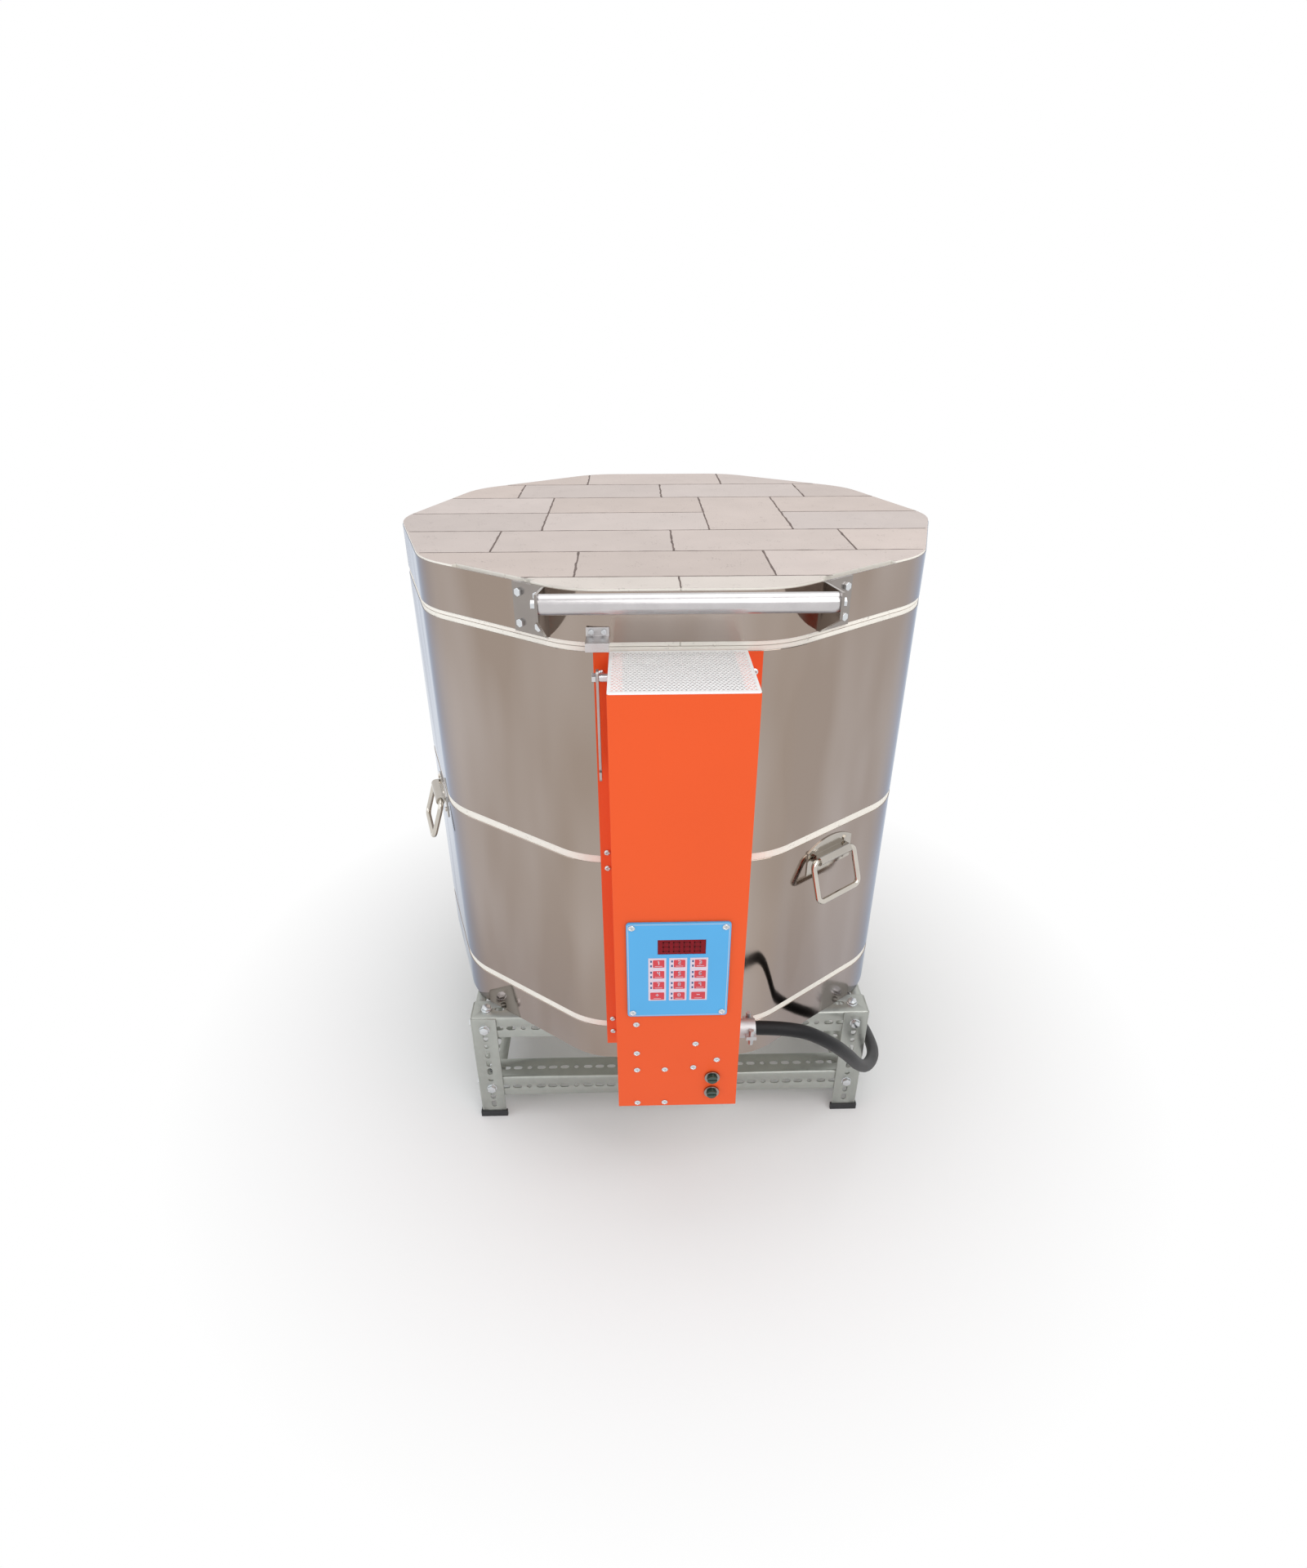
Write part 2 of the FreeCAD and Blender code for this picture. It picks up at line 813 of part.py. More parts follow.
def circuit_board():
    """The controller's board on four square posts behind the plate's corners."""
    x0 = panel_centre_x - panel_wide / 2 + panel_screw_inset * 2 + board_margin
    x1 = panel_centre_x + panel_wide / 2 - panel_screw_inset * 2 - board_margin
    z0 = panel_low + board_margin * 0.5
    z1 = panel_top() - board_margin * 0.5
    back = -box_front + sheet + board_gap
    board = block(x0, x1, back, back + board_thick, z0, z1)
    pieces = [board]
    half = board_post_wide / 2
    for x in (x0 + board_post_inset, x1 - board_post_inset):
        for z in (z0 + board_post_inset, z1 - board_post_inset):
            pieces.append(block(x - half, x + half, -box_front + sheet, back, z - half, z + half))
    bottom, top = key_places()[-1][1] - key_high / 2, key_places()[0][1] + key_high / 2
    switches = block(key_places()[0][0] - key_wide / 2, key_places()[2][0] + key_wide / 2, -box_front + sheet / 2,
                     back, bottom, top)
    return pieces[0].fuse(pieces[1:] + [switches])


def on_back_plate(x0, x1, z0, z1, near, out):
    """A block in the box between two distances from the back plate's face."""
    return block(x0, x1, -plate_face - out, -plate_face - near, z0, z1)


def relays():
    """Two power relays on the back plate, one for each ring's elements."""
    found = []
    for z in (seam_mid - relay_from_seam, seam_mid + relay_from_seam):
        z0, z1 = z - relay_high / 2, z + relay_high / 2
        body = on_back_plate(-relay_wide / 2, relay_wide / 2, z0, z1, 0.0, relay_deep)
        pieces = [on_back_plate(-relay_foot_wide / 2, relay_foot_wide / 2, z0, z1, 0.0, relay_foot_thick)]
        for k in (-1, 0, 1):
            x = k * relay_blade_pitch
            pieces.append(on_back_plate(x - relay_blade_wide / 2, x + relay_blade_wide / 2, z - relay_blade_high / 2,
                                        z + relay_blade_high / 2, relay_deep, relay_deep + relay_blade_out))
        found.append(body.fuse(pieces))
    return found


def transformer():
    """A small laminated transformer on the back plate, below the terminal windows."""
    x = (core_x[0] + core_x[1]) / 2
    core = on_back_plate(core_x[0], core_x[1], core_z - core_high / 2, core_z + core_high / 2, 0.0, core_deep)
    winding = on_back_plate(x - winding_wide / 2, x + winding_wide / 2, core_z - winding_high / 2,
                            core_z + winding_high / 2, core_deep, core_deep + winding_out)
    return core.fuse(winding)


def terminal_block():
    """The barrier strip where the power cord's conductors end."""
    z0 = cord_z - strip_high / 2
    x0 = window_half_width + 1
    x1 = box_half_width - sheet - return_flange - 1
    base = on_back_plate(x0, x1, z0, z0 + strip_high, 0.0, strip_deep)
    ribs = []
    for k in range(4):
        z = z0 + k * strip_rib_pitch
        ribs.append(on_back_plate(x0, x1, z, z + strip_rib_thick, strip_deep, strip_deep + strip_rib_out))
    return base.fuse(ribs)


def fuse_holders():
    holders = []
    for z in fuse_z:
        ring = rod(vec(fuse_x, -box_front - fuse_ring_high, z), vec(0, 1, 0), fuse_ring_radius, fuse_ring_high)
        barrel = rod(vec(fuse_x, -box_front, z), vec(0, 1, 0), fuse_body_radius, fuse_deep)
        bore = rod(vec(fuse_x, -box_front - fuse_ring_high - 1, z), vec(0, 1, 0),
                   fuse_cap_radius + turn_clearance, fuse_deep - fuse_floor + fuse_ring_high + 1)
        holders.append(ring.fuse(barrel).cut(bore))
    return holders


def fuse_cap(z):
    """A slotted cap that turns a quarter of the way round to let the fuse out."""
    front = -box_front - fuse_ring_high - fuse_cap_proud
    cap = rod(vec(fuse_x, front, z), vec(0, 1, 0), fuse_cap_radius, fuse_deep - fuse_cap_short)
    slot = block(fuse_x - fuse_cap_radius, fuse_x + fuse_cap_radius, front - 1, front + fuse_slot_deep,
                 z - fuse_slot_wide / 2, z + fuse_slot_wide / 2)
    return cap.cut(slot)


# Power cord

def cord_clamp():
    """A squeeze connector: a locknut flange, a tube and a saddle bar with two screws that grips the cord."""
    face = box_half_width
    flange_ring = prism(6, 2 * clamp_ring_radius, vec(face, cord_y, cord_z), vec(1, 0, 0), clamp_ring_thick)
    barrel = rod(vec(face - sheet, cord_y, cord_z), vec(1, 0, 0), clamp_body_radius, clamp_out + sheet)
    saddle = block(face + clamp_out - saddle_long, face + clamp_out, cord_y - saddle_wide / 2,
                   cord_y + saddle_wide / 2, cord_z - saddle_thick / 2, cord_z + saddle_thick / 2)
    screws = []
    for y in (cord_y - saddle_screw_at, cord_y + saddle_screw_at):
        foot = vec(face + clamp_out - saddle_long / 2, y, cord_z - saddle_screw_long / 2)
        screws.append(prism(8, saddle_screw_across, foot, vec(0, 0, 1), saddle_screw_long))
    whole = flange_ring.fuse([barrel, saddle] + screws)
    return whole.cut(rod(vec(0, cord_y, cord_z), vec(1, 0, 0), cord_diameter / 2 + clamp_slack, far))


def cord_points():
    """The route's corners, out of the clamp, down past the leg, along the floor and under the kiln."""
    floor = cord_diameter / 2 + floor_clearance
    return [vec(box_half_width + clamp_out - cord_grip, cord_y, cord_z), vec(160, cord_y, cord_z), vec(214, -424, 300),
            vec(252, -399, 246), vec(278, -369, 194), vec(307, -330, 146), vec(338, -272, 112), vec(350, -198, 78),
            vec(354, -122, 44), vec(354, -46, 18), vec(350, 28, floor), vec(336, 100, floor), vec(302, 166, floor),
            vec(247, 218, floor), vec(180, 249, floor)]


def section_corners(start, way, radius):
    """The corners of a many-sided section square to a way, `radius` from corner to corner's centre."""
    side = way.cross(vec(0, 0, 1)) if abs(way.z) < 0.9 else way.cross(vec(0, 1, 0))
    side.normalize()
    found = []
    for k in range(section_sides):
        found.append(start + FreeCAD.Rotation(way, 360.0 / section_sides * k).multVec(side) * radius)
    return found


def section_face(corners):
    return Part.Face(Part.makePolygon(corners + [corners[0]]))


def tube(points, radius, bends=None):
    """A bar of straight runs joined by tangent arcs, each as large as its runs allow unless it is given,
    with the arcs' radii and the length along the middle."""
    pieces = []
    radii = []
    length = 0.0
    start = points[0]
    corners = section_corners(start, (points[1] - start).normalize(), radius)
    for before, here, after in zip(points, points[1:], points[2:]):
        back = here - before
        ahead = after - here
        turn = back.getAngle(ahead)
        bend = bends if bends else run_share * min(back.Length, ahead.Length) / math.tan(turn / 2)
        reach = bend * math.tan(turn / 2)
        back.normalize()
        ahead.normalize()
        first = here - back * reach
        pieces.append(section_face(corners).extrude(first - start))
        length += (first - start).Length + bend * turn
        radii.append(bend)
        corners = [c + (first - start) for c in corners]
        axis = back.cross(ahead).normalize()
        centre = first + axis.cross(back) * bend
        pieces.append(section_face(corners).revolve(centre, axis, math.degrees(turn)))
        swing = FreeCAD.Rotation(axis, math.degrees(turn))
        corners = [centre + swing.multVec(c - centre) for c in corners]
        start = here + ahead * reach
    pieces.append(section_face(corners).extrude(points[-1] - start))
    length += (points[-1] - start).Length
    return pieces[0].multiFuse(pieces[1:]).removeSplitter(), radii, length


def tail_start():
    """Where the last turn of the coil lifts off it, on the side away from the run that comes in."""
    return vec(coil_centre_x - tail_side, coil_centre_y + coil_mid_radius - tail_inside,
               1.5 * cord_diameter + tail_rise)


def plug_way():
    return vec(-0.95, -0.31, 0).normalize()


def cord_run():
    """The run from the clamp to the coil and the straight tail from the coil to the plug."""
    run, radii, length = tube(cord_points(), cord_diameter / 2)
    section = section_face(section_corners(vec(0, 0, 0), vec(0, 0, 1), cord_diameter / 2)).Area
    print("cord radii", [round(r) for r in radii], "length", round(length))
    print("volume over section times length", round(run.Volume / (section * length), 4))
    tail = rod(tail_start(), plug_way(), cord_diameter / 2, tail_long)
    return [run.cut(coil_ring_solid()), tail]


def coil_ring_solid():
    """The outer shape of the put-away turns: a flat ring, a turn wide."""
    r0, r1 = coil_mid_radius - cord_diameter / 2, coil_mid_radius + cord_diameter / 2
    z0, z1 = floor_clearance, cord_diameter + floor_clearance
    face = section_face([vec(r0, 0, z0), vec(r1, 0, z0), vec(r1, 0, z1), vec(r0, 0, z1)])
    ring = face.revolve(vec(0, 0, 0), vec(0, 0, 1), 360)
    ring.translate(vec(coil_centre_x, coil_centre_y, 0))
    return ring


def plug_start():
    return tail_start() + plug_way() * tail_long


def plug_body():
    """A moulded straight plug, flat where it rests, tapered towards the cord."""
    start = plug_start()
    centre = vec(start.x, start.y, plug_radius)
    taper = plug_long * plug_taper
    cone = Part.makeCone(plug_radius * plug_neck, plug_radius, taper, centre, plug_way())
    head = rod(centre + plug_way() * taper, plug_way(), plug_radius, plug_long - taper)
    return cone.fuse(head)


def plug_blades():
    """Two straight blades and a round earth pin."""
    way = plug_way()
    side = vec(-way.y, way.x, 0)
    centre = plug_start()
    face = vec(centre.x, centre.y, plug_radius) + way * plug_long
    found = []
    for s in (-1, 1):
        low = face + side * ((s * blade_apart - blade_thick) / 2) + vec(0, 0, blade_raised - blade_wide / 2)
        high = low + vec(0, 0, blade_wide)
        found.append(extrude_profile([low, low + side * blade_thick, high + side * blade_thick, high],
                                     way * blade_long))
    found.append(rod(face - vec(0, 0, earth_pin_down), way, earth_pin_radius, earth_pin_long))
    return found


# Lid hinge

def hinge_y():
    return skin + hinge_offset


def knuckle_spans():
    """Five knuckles along the pin; the outer ones and the middle one belong to the lid's leaf."""
    width = 2 * hinge_half_width / 5
    return [(-hinge_half_width + width * k, -hinge_half_width + width * (k + 1)) for k in range(5)]


def hinge_leaf(up, mine):
    """A leaf with its knuckles and the webs that join them, above the pin for the lid and below for the body."""
    way = 1 if up else -1
    z_levels = sorted((seam_top + way * leaf_from_seam, seam_top + way * (leaf_from_seam + leaf_high)))
    leaf = block(-hinge_half_width, hinge_half_width, skin, skin + leaf_thick, z_levels[0], z_levels[1])
    pieces = []
    for k in mine:
        x0, x1 = knuckle_spans()[k]
        x0 += knuckle_gap / 2
        x1 -= knuckle_gap / 2
        pieces.append(rod(vec(x0, hinge_y(), seam_top), vec(1, 0, 0), knuckle_radius, x1 - x0))
        web_z = sorted((seam_top + way * (leaf_from_seam - 1), seam_top + way * (knuckle_radius + 1)))
        pieces.append(block(x0, x1, skin, hinge_y(), web_z[0], web_z[1]))
    leaf = leaf.fuse(pieces)
    bore = rod(vec(-far, hinge_y(), seam_top), vec(1, 0, 0), hinge_pin_radius + pin_fit, 2 * far)
    return leaf.cut(bore).removeSplitter()


def hinge_pin():
    """The hinge rod, with an upset head at each end."""
    reach = hinge_half_width + pin_play
    pin = rod(vec(-reach, hinge_y(), seam_top), vec(1, 0, 0), hinge_pin_radius, 2 * reach)
    for x, way in ((-reach, -1), (reach, 1)):
        pin = pin.fuse(rod(vec(x, hinge_y(), seam_top), vec(way, 0, 0), pin_head_radius, pin_head_long))
    return pin


# Lid handle

def facet_point(angle, along, out):
    a = math.radians(angle)
    return vec(math.cos(a) * out - math.sin(a) * along, math.sin(a) * out + math.cos(a) * along, 0)


def web_x(side):
    return handle_shift + side * handle_half


def fold_along(side):
    """How far along its slanting facet the bracket's fold lies, so that its web stands across the tube."""
    angle = math.radians(facet_angle(side))
    return (math.cos(angle) * (skin + bracket_thick) - web_x(side)) / math.sin(angle)


def bracket(side):
    """A bent bracket: a flange bolted flat on the slanting facet and a rising web that holds the tube's end."""
    angle = facet_angle(side)
    fold = fold_along(side)
    ends = sorted((fold, fold + side * bracket_wide))
    base = block(ends[0], ends[1], -(skin + bracket_thick), -skin, bracket_low, bracket_low + bracket_high)
    base = turned(base, angle)
    root = facet_point(angle, fold, skin + web_root).y
    tip = tube_y - web_tip_reach
    x0 = web_x(side)
    outline = [vec(x0, root, bracket_low), vec(x0, root, bracket_low + bracket_high),
               vec(x0, tip, tube_z + web_tip_high / 2), vec(x0, tip, tube_z - web_tip_high / 2)]
    web = extrude_profile(outline, vec(side * bracket_thick, 0, 0))
    return base.fuse(web).cut(decagon(skin, skin_round, bracket_low - 1, bracket_low + bracket_high + 1))


def lid_handle_tube():
    """A plain tube between the webs, with a closed plug in each end for the end bolt."""
    length = 2 * handle_half
    start = vec(web_x(-1), tube_y, tube_z)
    outer = rod(start, vec(1, 0, 0), tube_radius, length)
    bore = rod(start + vec(tube_plug, 0, 0), vec(1, 0, 0), tube_radius - tube_wall, length - 2 * tube_plug)
    return outer.cut(bore)


def lid_handle_bolts():
    """Four bolts on each bracket's flange, one through each web into the tube, and two on the catch."""
    found = []
    for side in (-1, 1):
        angle = facet_angle(side)
        middle = fold_along(side) + side * bracket_wide / 2
        mid_z = bracket_low + bracket_high / 2
        for sx in (-1, 1):
            for sz in (-1, 1):
                place = vec(middle + sx * bolt_spread_x / 2, -(skin + bracket_thick), mid_z + sz * bolt_spread_z / 2)
                found.append(turned(prism(6, bracket_bolt_across, place, vec(0, -1, 0), bracket_bolt_head), angle))
        end = vec(web_x(side) + side * bracket_thick, tube_y, tube_z)
        found.append(prism(6, bracket_bolt_across, end, vec(side, 0, 0), end_bolt_head))
    for x in (catch_x[0] + catch_bolt_inset, catch_x[1] - catch_bolt_inset):
        place = vec(x, -(skin + catch_thick), lid_low + bare_edge + catch_bolt_up)
        found.append(prism(6, catch_bolt_across, place, vec(0, -1, 0), catch_bolt_head))
    return found


# Lid prop

def lid_catch():
    """A small folded shelf on the lid's band that the prop's end hooks under."""
    low = lid_low + bare_edge
    shelf = low + catch_high / 2
    y = -skin
    outline = [vec(catch_x[0], y, low), vec(catch_x[0], y, low + catch_high),
               vec(catch_x[0], y - catch_thick, low + catch_high), vec(catch_x[0], y - catch_thick, shelf),
               vec(catch_x[0], y - catch_reach, shelf), vec(catch_x[0], y - catch_reach, shelf - catch_lip),
               vec(catch_x[0], y - catch_reach + catch_thick, shelf - catch_lip),
               vec(catch_x[0], y - catch_reach + catch_thick, shelf - catch_thick),
               vec(catch_x[0], y - catch_thick, shelf - catch_thick), vec(catch_x[0], y - catch_thick, low)]
    return extrude_profile(outline, vec(catch_x[1] - catch_x[0], 0, 0))


def prop_arm():
    """A flat arm with round ends and a hook notch, hanging from its pivot."""
    x = prop_x - prop_thick / 2
    top = prop_pivot_z + prop_above_pivot
    half = prop_wide / 2
    arm = block(x, x + prop_thick, prop_y - half, prop_y + half, top - prop_long + half, top - half)
    for z in (top - half, top - prop_long + half):
        arm = arm.fuse(rod(vec(x, prop_y, z), vec(1, 0, 0), half, prop_thick))
    hole = rod(vec(x - 1, prop_y, prop_pivot_z), vec(1, 0, 0), prop_pivot_radius + pin_fit, prop_thick + 2)
    notch_z = top - prop_long + prop_notch_up
    notch = block(x - 1, x + prop_thick + 1, prop_y - half - 1, prop_y - 1, notch_z, notch_z + prop_notch_high)
    return arm.cut(hole).cut(notch).removeSplitter()


def prop_pivot():
    """The prop's bolt: a head outside, a round shank, and a spacer that stands it off the control box."""
    outside = prop_x - prop_thick / 2 - prop_play
    inside = prop_x + prop_thick / 2 + prop_play
    wall_x = -box_half_width
    shank = rod(vec(outside - 1, prop_y, prop_pivot_z), vec(1, 0, 0), prop_pivot_radius, wall_x - outside + 1)
    head = prism(6, prop_head_across, vec(outside, prop_y, prop_pivot_z), vec(-1, 0, 0), prop_head_high)
    spacer = rod(vec(inside, prop_y, prop_pivot_z), vec(1, 0, 0), prop_spacer_radius, wall_x - inside)
    return shank.fuse([head, spacer])


# Lifting handles

def plate_level():
    return seam_mid - bare_edge - plate_top_gap


def barrel_z():
    return plate_level() - barrel_down


def pivot_out():
    return skin + plate_thick + barrel_radius


def handle_plate():
    """A steel plate with a curved top whose middle is rolled into a barrel for the bail."""
    half = plate_wide / 2
    top = plate_level()
    shoulder = top - plate_shoulder
    low = top - plate_high
    y = -skin
    edges = [Part.LineSegment(vec(-half, y, low), vec(half, y, low)).toShape(),
             Part.LineSegment(vec(half, y, low), vec(half, y, shoulder)).toShape(),
             Part.Arc(vec(half, y, shoulder), vec(0, y, top), vec(-half, y, shoulder)).toShape(),
             Part.LineSegment(vec(-half, y, shoulder), vec(-half, y, low)).toShape()]
    plate = Part.Face(Part.Wire(edges)).extrude(vec(0, -plate_thick, 0))
    barrel = rod(vec(-barrel_long / 2, -pivot_out(), barrel_z()), vec(1, 0, 0), barrel_radius, barrel_long)
    web = block(-barrel_long / 2, barrel_long / 2, -pivot_out(), -skin, barrel_z() + barrel_radius / 2,
                barrel_z() + barrel_radius)
    bore = rod(vec(-far, -pivot_out(), barrel_z()), vec(1, 0, 0), bail_rod + pin_fit, 2 * far)
    screws = []
    for x in (-half + plate_screw_inset, half - plate_screw_inset):
        for z in (top - plate_screw_down, low + plate_screw_up):
            screws.append(prism(6, plate_screw_across, vec(x, -skin - plate_thick, z), vec(0, -1, 0),
                                plate_screw_high))
    return plate.fuse([barrel, web] + screws).cut(bore).removeSplitter()


def bail():
    """A round-rod loop whose ends turn in to the barrel; it hangs leaning off the plate's lower edge."""
    half = bail_wide / 2 - bail_rod
    y = -pivot_out()
    top = barrel_z()
    low = top - bail_drop
    straight = half - bail_bend
    inner = straight - bail_rod
    loop = tube([vec(-inner, y, top), vec(-half, y, top), vec(-half, y, low), vec(half, y, low),
                 vec(half, y, top), vec(inner, y, top)], bail_rod, bail_bend)[0]
    grip = [rod(vec(x, y, top), vec(1, 0, 0), bail_rod, straight - bail_grip) for x in (-straight, bail_grip)]
    loop = loop.fuse(grip)
    loop.rotate(vec(0, y, top), vec(-1, 0, 0), bail_lean)
    return loop


def build():
    os.makedirs("parts", exist_ok=True)
    save("floor_slab", floor_slab())
    save("lower_ring_bricks", brick_ring(ring_low))
    save("upper_ring_bricks", brick_ring(seam_mid))
    save("floor_band", jacket(stand_height, ring_low - bare_edge, False))
    save("lower_jacket", jacket(ring_low + bare_edge, seam_mid - bare_edge, True))
    save("upper_jacket", jacket(seam_mid + bare_edge, seam_top - bare_edge, True))
    save("heating_elements", heating_elements())
    save("element_feedthroughs", element_feedthroughs())
    save("thermocouple", thermocouple())
    save("stand_legs", stand_legs())
    save("stand_top_rails", rails(stand_height, False))
    save("stand_low_rails", rails(low_rail_top, True))
    save("stand_bolts", stand_bolts())
    save("foot_caps", foot_caps())
    save("box_back_plate", box_back_plate())
    save("box_cover", box_cover())
    save("top_grille", top_grille())
    save("box_screws", box_screws())
    save("controller_plate", controller_plate())
    save("display_window", display_window())
    for number, (x, z) in enumerate(key_places(), 1):
        save("key_%d" % number, key(x, z))
    save("circuit_board", circuit_board())
    save("relays", relays())
    save("transformer", transformer())
    save("terminal_block", terminal_block())
    save("fuse_holders", fuse_holders())
    for name, z in zip(("upper_fuse_cap", "lower_fuse_cap"), fuse_z):
        save(name, fuse_cap(z))
    save("cord_clamp", cord_clamp())
    save("cord_run", cord_run())
    save("cord_coil", coil_ring_solid())
    save("plug_body", plug_body())
    save("plug_blades", plug_blades())
    save("hinge_body_leaf", hinge_leaf(False, (1, 3)))
    save("hinge_lid_leaf", hinge_leaf(True, (0, 2, 4)))
    save("hinge_pin", hinge_pin())
    save("lid_bricks", lid_bricks())
    save("lid_band", lid_band())
    save("lid_handle_tube", lid_handle_tube())
    save("lid_handle_brackets", [bracket(-1), bracket(1)])
    save("lid_handle_bolts", lid_handle_bolts())
    save("lid_catch", lid_catch())
    save("prop_arm", prop_arm())
    save("prop_pivot", prop_pivot())
    plate = handle_plate()
    loop = bail()
    save("lifting_handle_plates", [turned(plate, facet_angle(number)) for number in handle_facets.values()])
    for name, number in handle_facets.items():
        save("bail_" + name, turned(loop, facet_angle(number)))


build()
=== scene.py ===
import math

import bmesh
import bpy
import numpy as np
from mathutils import Matrix, Vector


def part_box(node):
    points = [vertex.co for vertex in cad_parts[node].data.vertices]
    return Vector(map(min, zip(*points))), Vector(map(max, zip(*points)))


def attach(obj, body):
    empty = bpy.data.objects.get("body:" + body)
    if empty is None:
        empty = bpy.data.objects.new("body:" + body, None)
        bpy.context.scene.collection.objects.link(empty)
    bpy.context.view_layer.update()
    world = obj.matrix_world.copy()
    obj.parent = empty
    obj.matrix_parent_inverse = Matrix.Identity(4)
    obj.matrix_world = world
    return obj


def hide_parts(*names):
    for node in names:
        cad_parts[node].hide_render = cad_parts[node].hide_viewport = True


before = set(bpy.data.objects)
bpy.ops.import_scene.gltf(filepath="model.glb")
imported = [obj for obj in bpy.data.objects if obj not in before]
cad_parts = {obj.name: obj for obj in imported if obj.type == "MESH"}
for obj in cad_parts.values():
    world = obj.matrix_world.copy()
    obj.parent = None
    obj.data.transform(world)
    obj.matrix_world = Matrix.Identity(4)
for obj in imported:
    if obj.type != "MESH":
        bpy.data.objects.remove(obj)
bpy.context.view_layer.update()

bl_info = {
    "name": "Ceramic kiln",
    "version": (1, 0, 0),
    "blender": (4, 5, 0),
    "location": "View3D > Sidebar > Kiln",
    "description": "Dresses a ten-sided top-loading kiln: brick, bright jackets, control box, stand and cord",
    "category": "Object",
}

KILN = "kiln"
LID = "lid"
FACETS = 10
HALF_TURN = math.pi / FACETS
BAIL_FACETS = {"front_right": -54.0, "front_left": -162.0, "rear_right": 18.0, "rear_left": 126.0}
RANDOM_SEED = 7

# Points nearer than WELD are one. Faces that meet at less than FLAT_ANGLE degrees join, at less than
# SMOOTH_ANGLE they shade as one, and at more than EDGE_ANGLE their edge is rounded.

WELD = 1e-6
FLAT_ANGLE = 0.5
SMOOTH_ANGLE = 35.0
EDGE_ANGLE = 40.0

# Places read from the frame, in metres

LID_LOW, LID_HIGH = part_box("lid_bricks")
PANEL_LOW, PANEL_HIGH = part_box("controller_plate")
BRICK_OUT = -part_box("floor_slab")[0].y
SKIN = -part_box("lid_band")[0].y


# Sizes and colours that a user would change

def length(name, words, value):
    """A length in metres that the user may change."""
    return bpy.props.FloatProperty(name=name, description=words, default=value, unit="LENGTH")


class KilnSizes(bpy.types.PropertyGroup):
    brick_edge: length("Brick edge", "Rounding of each lid brick's edges", 0.0012)
    cross_joint: length("Cross joint", "Mean width of the cement in the short joints", 0.0030)
    long_joint: length("Long joint", "Mean width of the cement in the long joints", 0.0012)
    coil_pitch: length("Coil pitch", "Distance between two turns of a heating element", 0.0058)
    wire_radius: length("Wire radius", "Radius of the resistance wire", 0.0013)
    slot_pitch: length("Slot pitch", "Distance between two holes of the slotted angle", 0.0191)
    slot_half: length("Slot half length", "Half the straight part of a slot", 0.0034)
    slot_radius: length("Slot radius", "Radius of a slot's round ends and of the round holes", 0.0040)
    heel_radius: length("Heel radius", "Outer bend radius of the steel angle", 0.0030)
    grille_pitch: length("Grille pitch", "Distance between two holes of the perforated top", 0.0047)
    grille_hole: length("Grille hole", "Radius of a hole of the perforated top", 0.0016)
    cord_diameter: length("Cord diameter", "Diameter of the rubber-jacketed lead", 0.019)
    cord_length: length("Cord length", "Length of the lead from the clamp to the plug", 1.83)


def colour(name, words, value):
    """A colour that the user may change."""
    return bpy.props.FloatVectorProperty(name=name, description=words, subtype="COLOR", size=3, min=0.0,
                                         max=1.0, default=value)


class KilnColours(bpy.types.PropertyGroup):
    lid_brick: colour("Lid brick", "Sawn face of the firebrick on the lid", (0.67, 0.585, 0.545))
    # Also painted on the lid bricks' upright faces, partly as painted light that makes them lighter than the
    # top
    ring_brick: colour("Ring brick", "Bare edge of the firebrick at the seams", (0.98, 0.94, 0.86))
    cement: colour("Cement", "Refractory cement in the lid's joints", (0.13, 0.10, 0.09))
    # Partly painted reflection: the steel mirrors a white world, so the warm grey of a mirrored room is
    # painted into this colour as well as the steel's own
    jacket: colour("Jacket", "Bright stainless sheet", (0.39, 0.335, 0.30))
    enamel: colour("Enamel", "Orange powder coat of the control box", (0.93, 0.105, 0.014))
    galvanised: colour("Galvanised", "Zinc coat of the slotted angle", (0.42, 0.435, 0.405))
    panel: colour("Panel", "Light blue face of the controller", (0.085, 0.45, 0.86))
    key: colour("Key", "Red field of a key", (0.72, 0.035, 0.055))
    display: colour("Display", "Dark red filter over the display", (0.27, 0.006, 0.014))
    cord: colour("Cord", "Black rubber of the lead", (0.007, 0.007, 0.008))


def sizes():
    """The sizes that the user has set."""
    return bpy.context.scene.kiln_sizes


# Meshes worked out as whole arrays

def rounds(sides):
    """The angles of so many even steps round a circle."""
    return np.linspace(0, 2 * math.pi, sides, endpoint=False)


def on_circle(t):
    """The points (cos t, sin t) of the unit circle."""
    return np.stack([np.cos(t), np.sin(t)], axis=-1)


def raised(outline, z):
    """A flat outline's points at one height."""
    return np.column_stack([outline, np.full(len(outline), z)])


def grid(points, wrap_u=False, wrap_v=False):
    """Quads over a grid of points P(u, v), an array of shape (u, v, 3), closed in u or v where asked."""
    nu, nv = points.shape[:2]
    index = np.arange(nu * nv).reshape(nu, nv)
    rows = np.vstack([index, index[:1]]) if wrap_u else index
    rows = np.hstack([rows, rows[:, :1]]) if wrap_v else rows
    quads = np.stack([rows[:-1, :-1], rows[1:, :-1], rows[1:, 1:], rows[:-1, 1:]], axis=-1).reshape(-1, 4)
    return points.reshape(-1, 3), quads.tolist()


def merge(shapes):
    """One shape from many: their points stacked and their faces counted on from one another."""
    verts = []
    faces = []
    start = 0
    for points, polygons in shapes:
        verts.append(points)
        faces.extend([[i + start for i in face] for face in polygons])
        start += len(points)
    return np.vstack(verts), faces


def placed(shape, matrix):
    """The shape's points times a 4 by 4 matrix."""
    points, faces = shape
    m = np.array(matrix)
    return points @ m[:3, :3].T + m[:3, 3], faces


def moved(shape, x, y, z):
    """The shape's points moved by x, y and z."""
    return placed(shape, Matrix.Translation((x, y, z)))


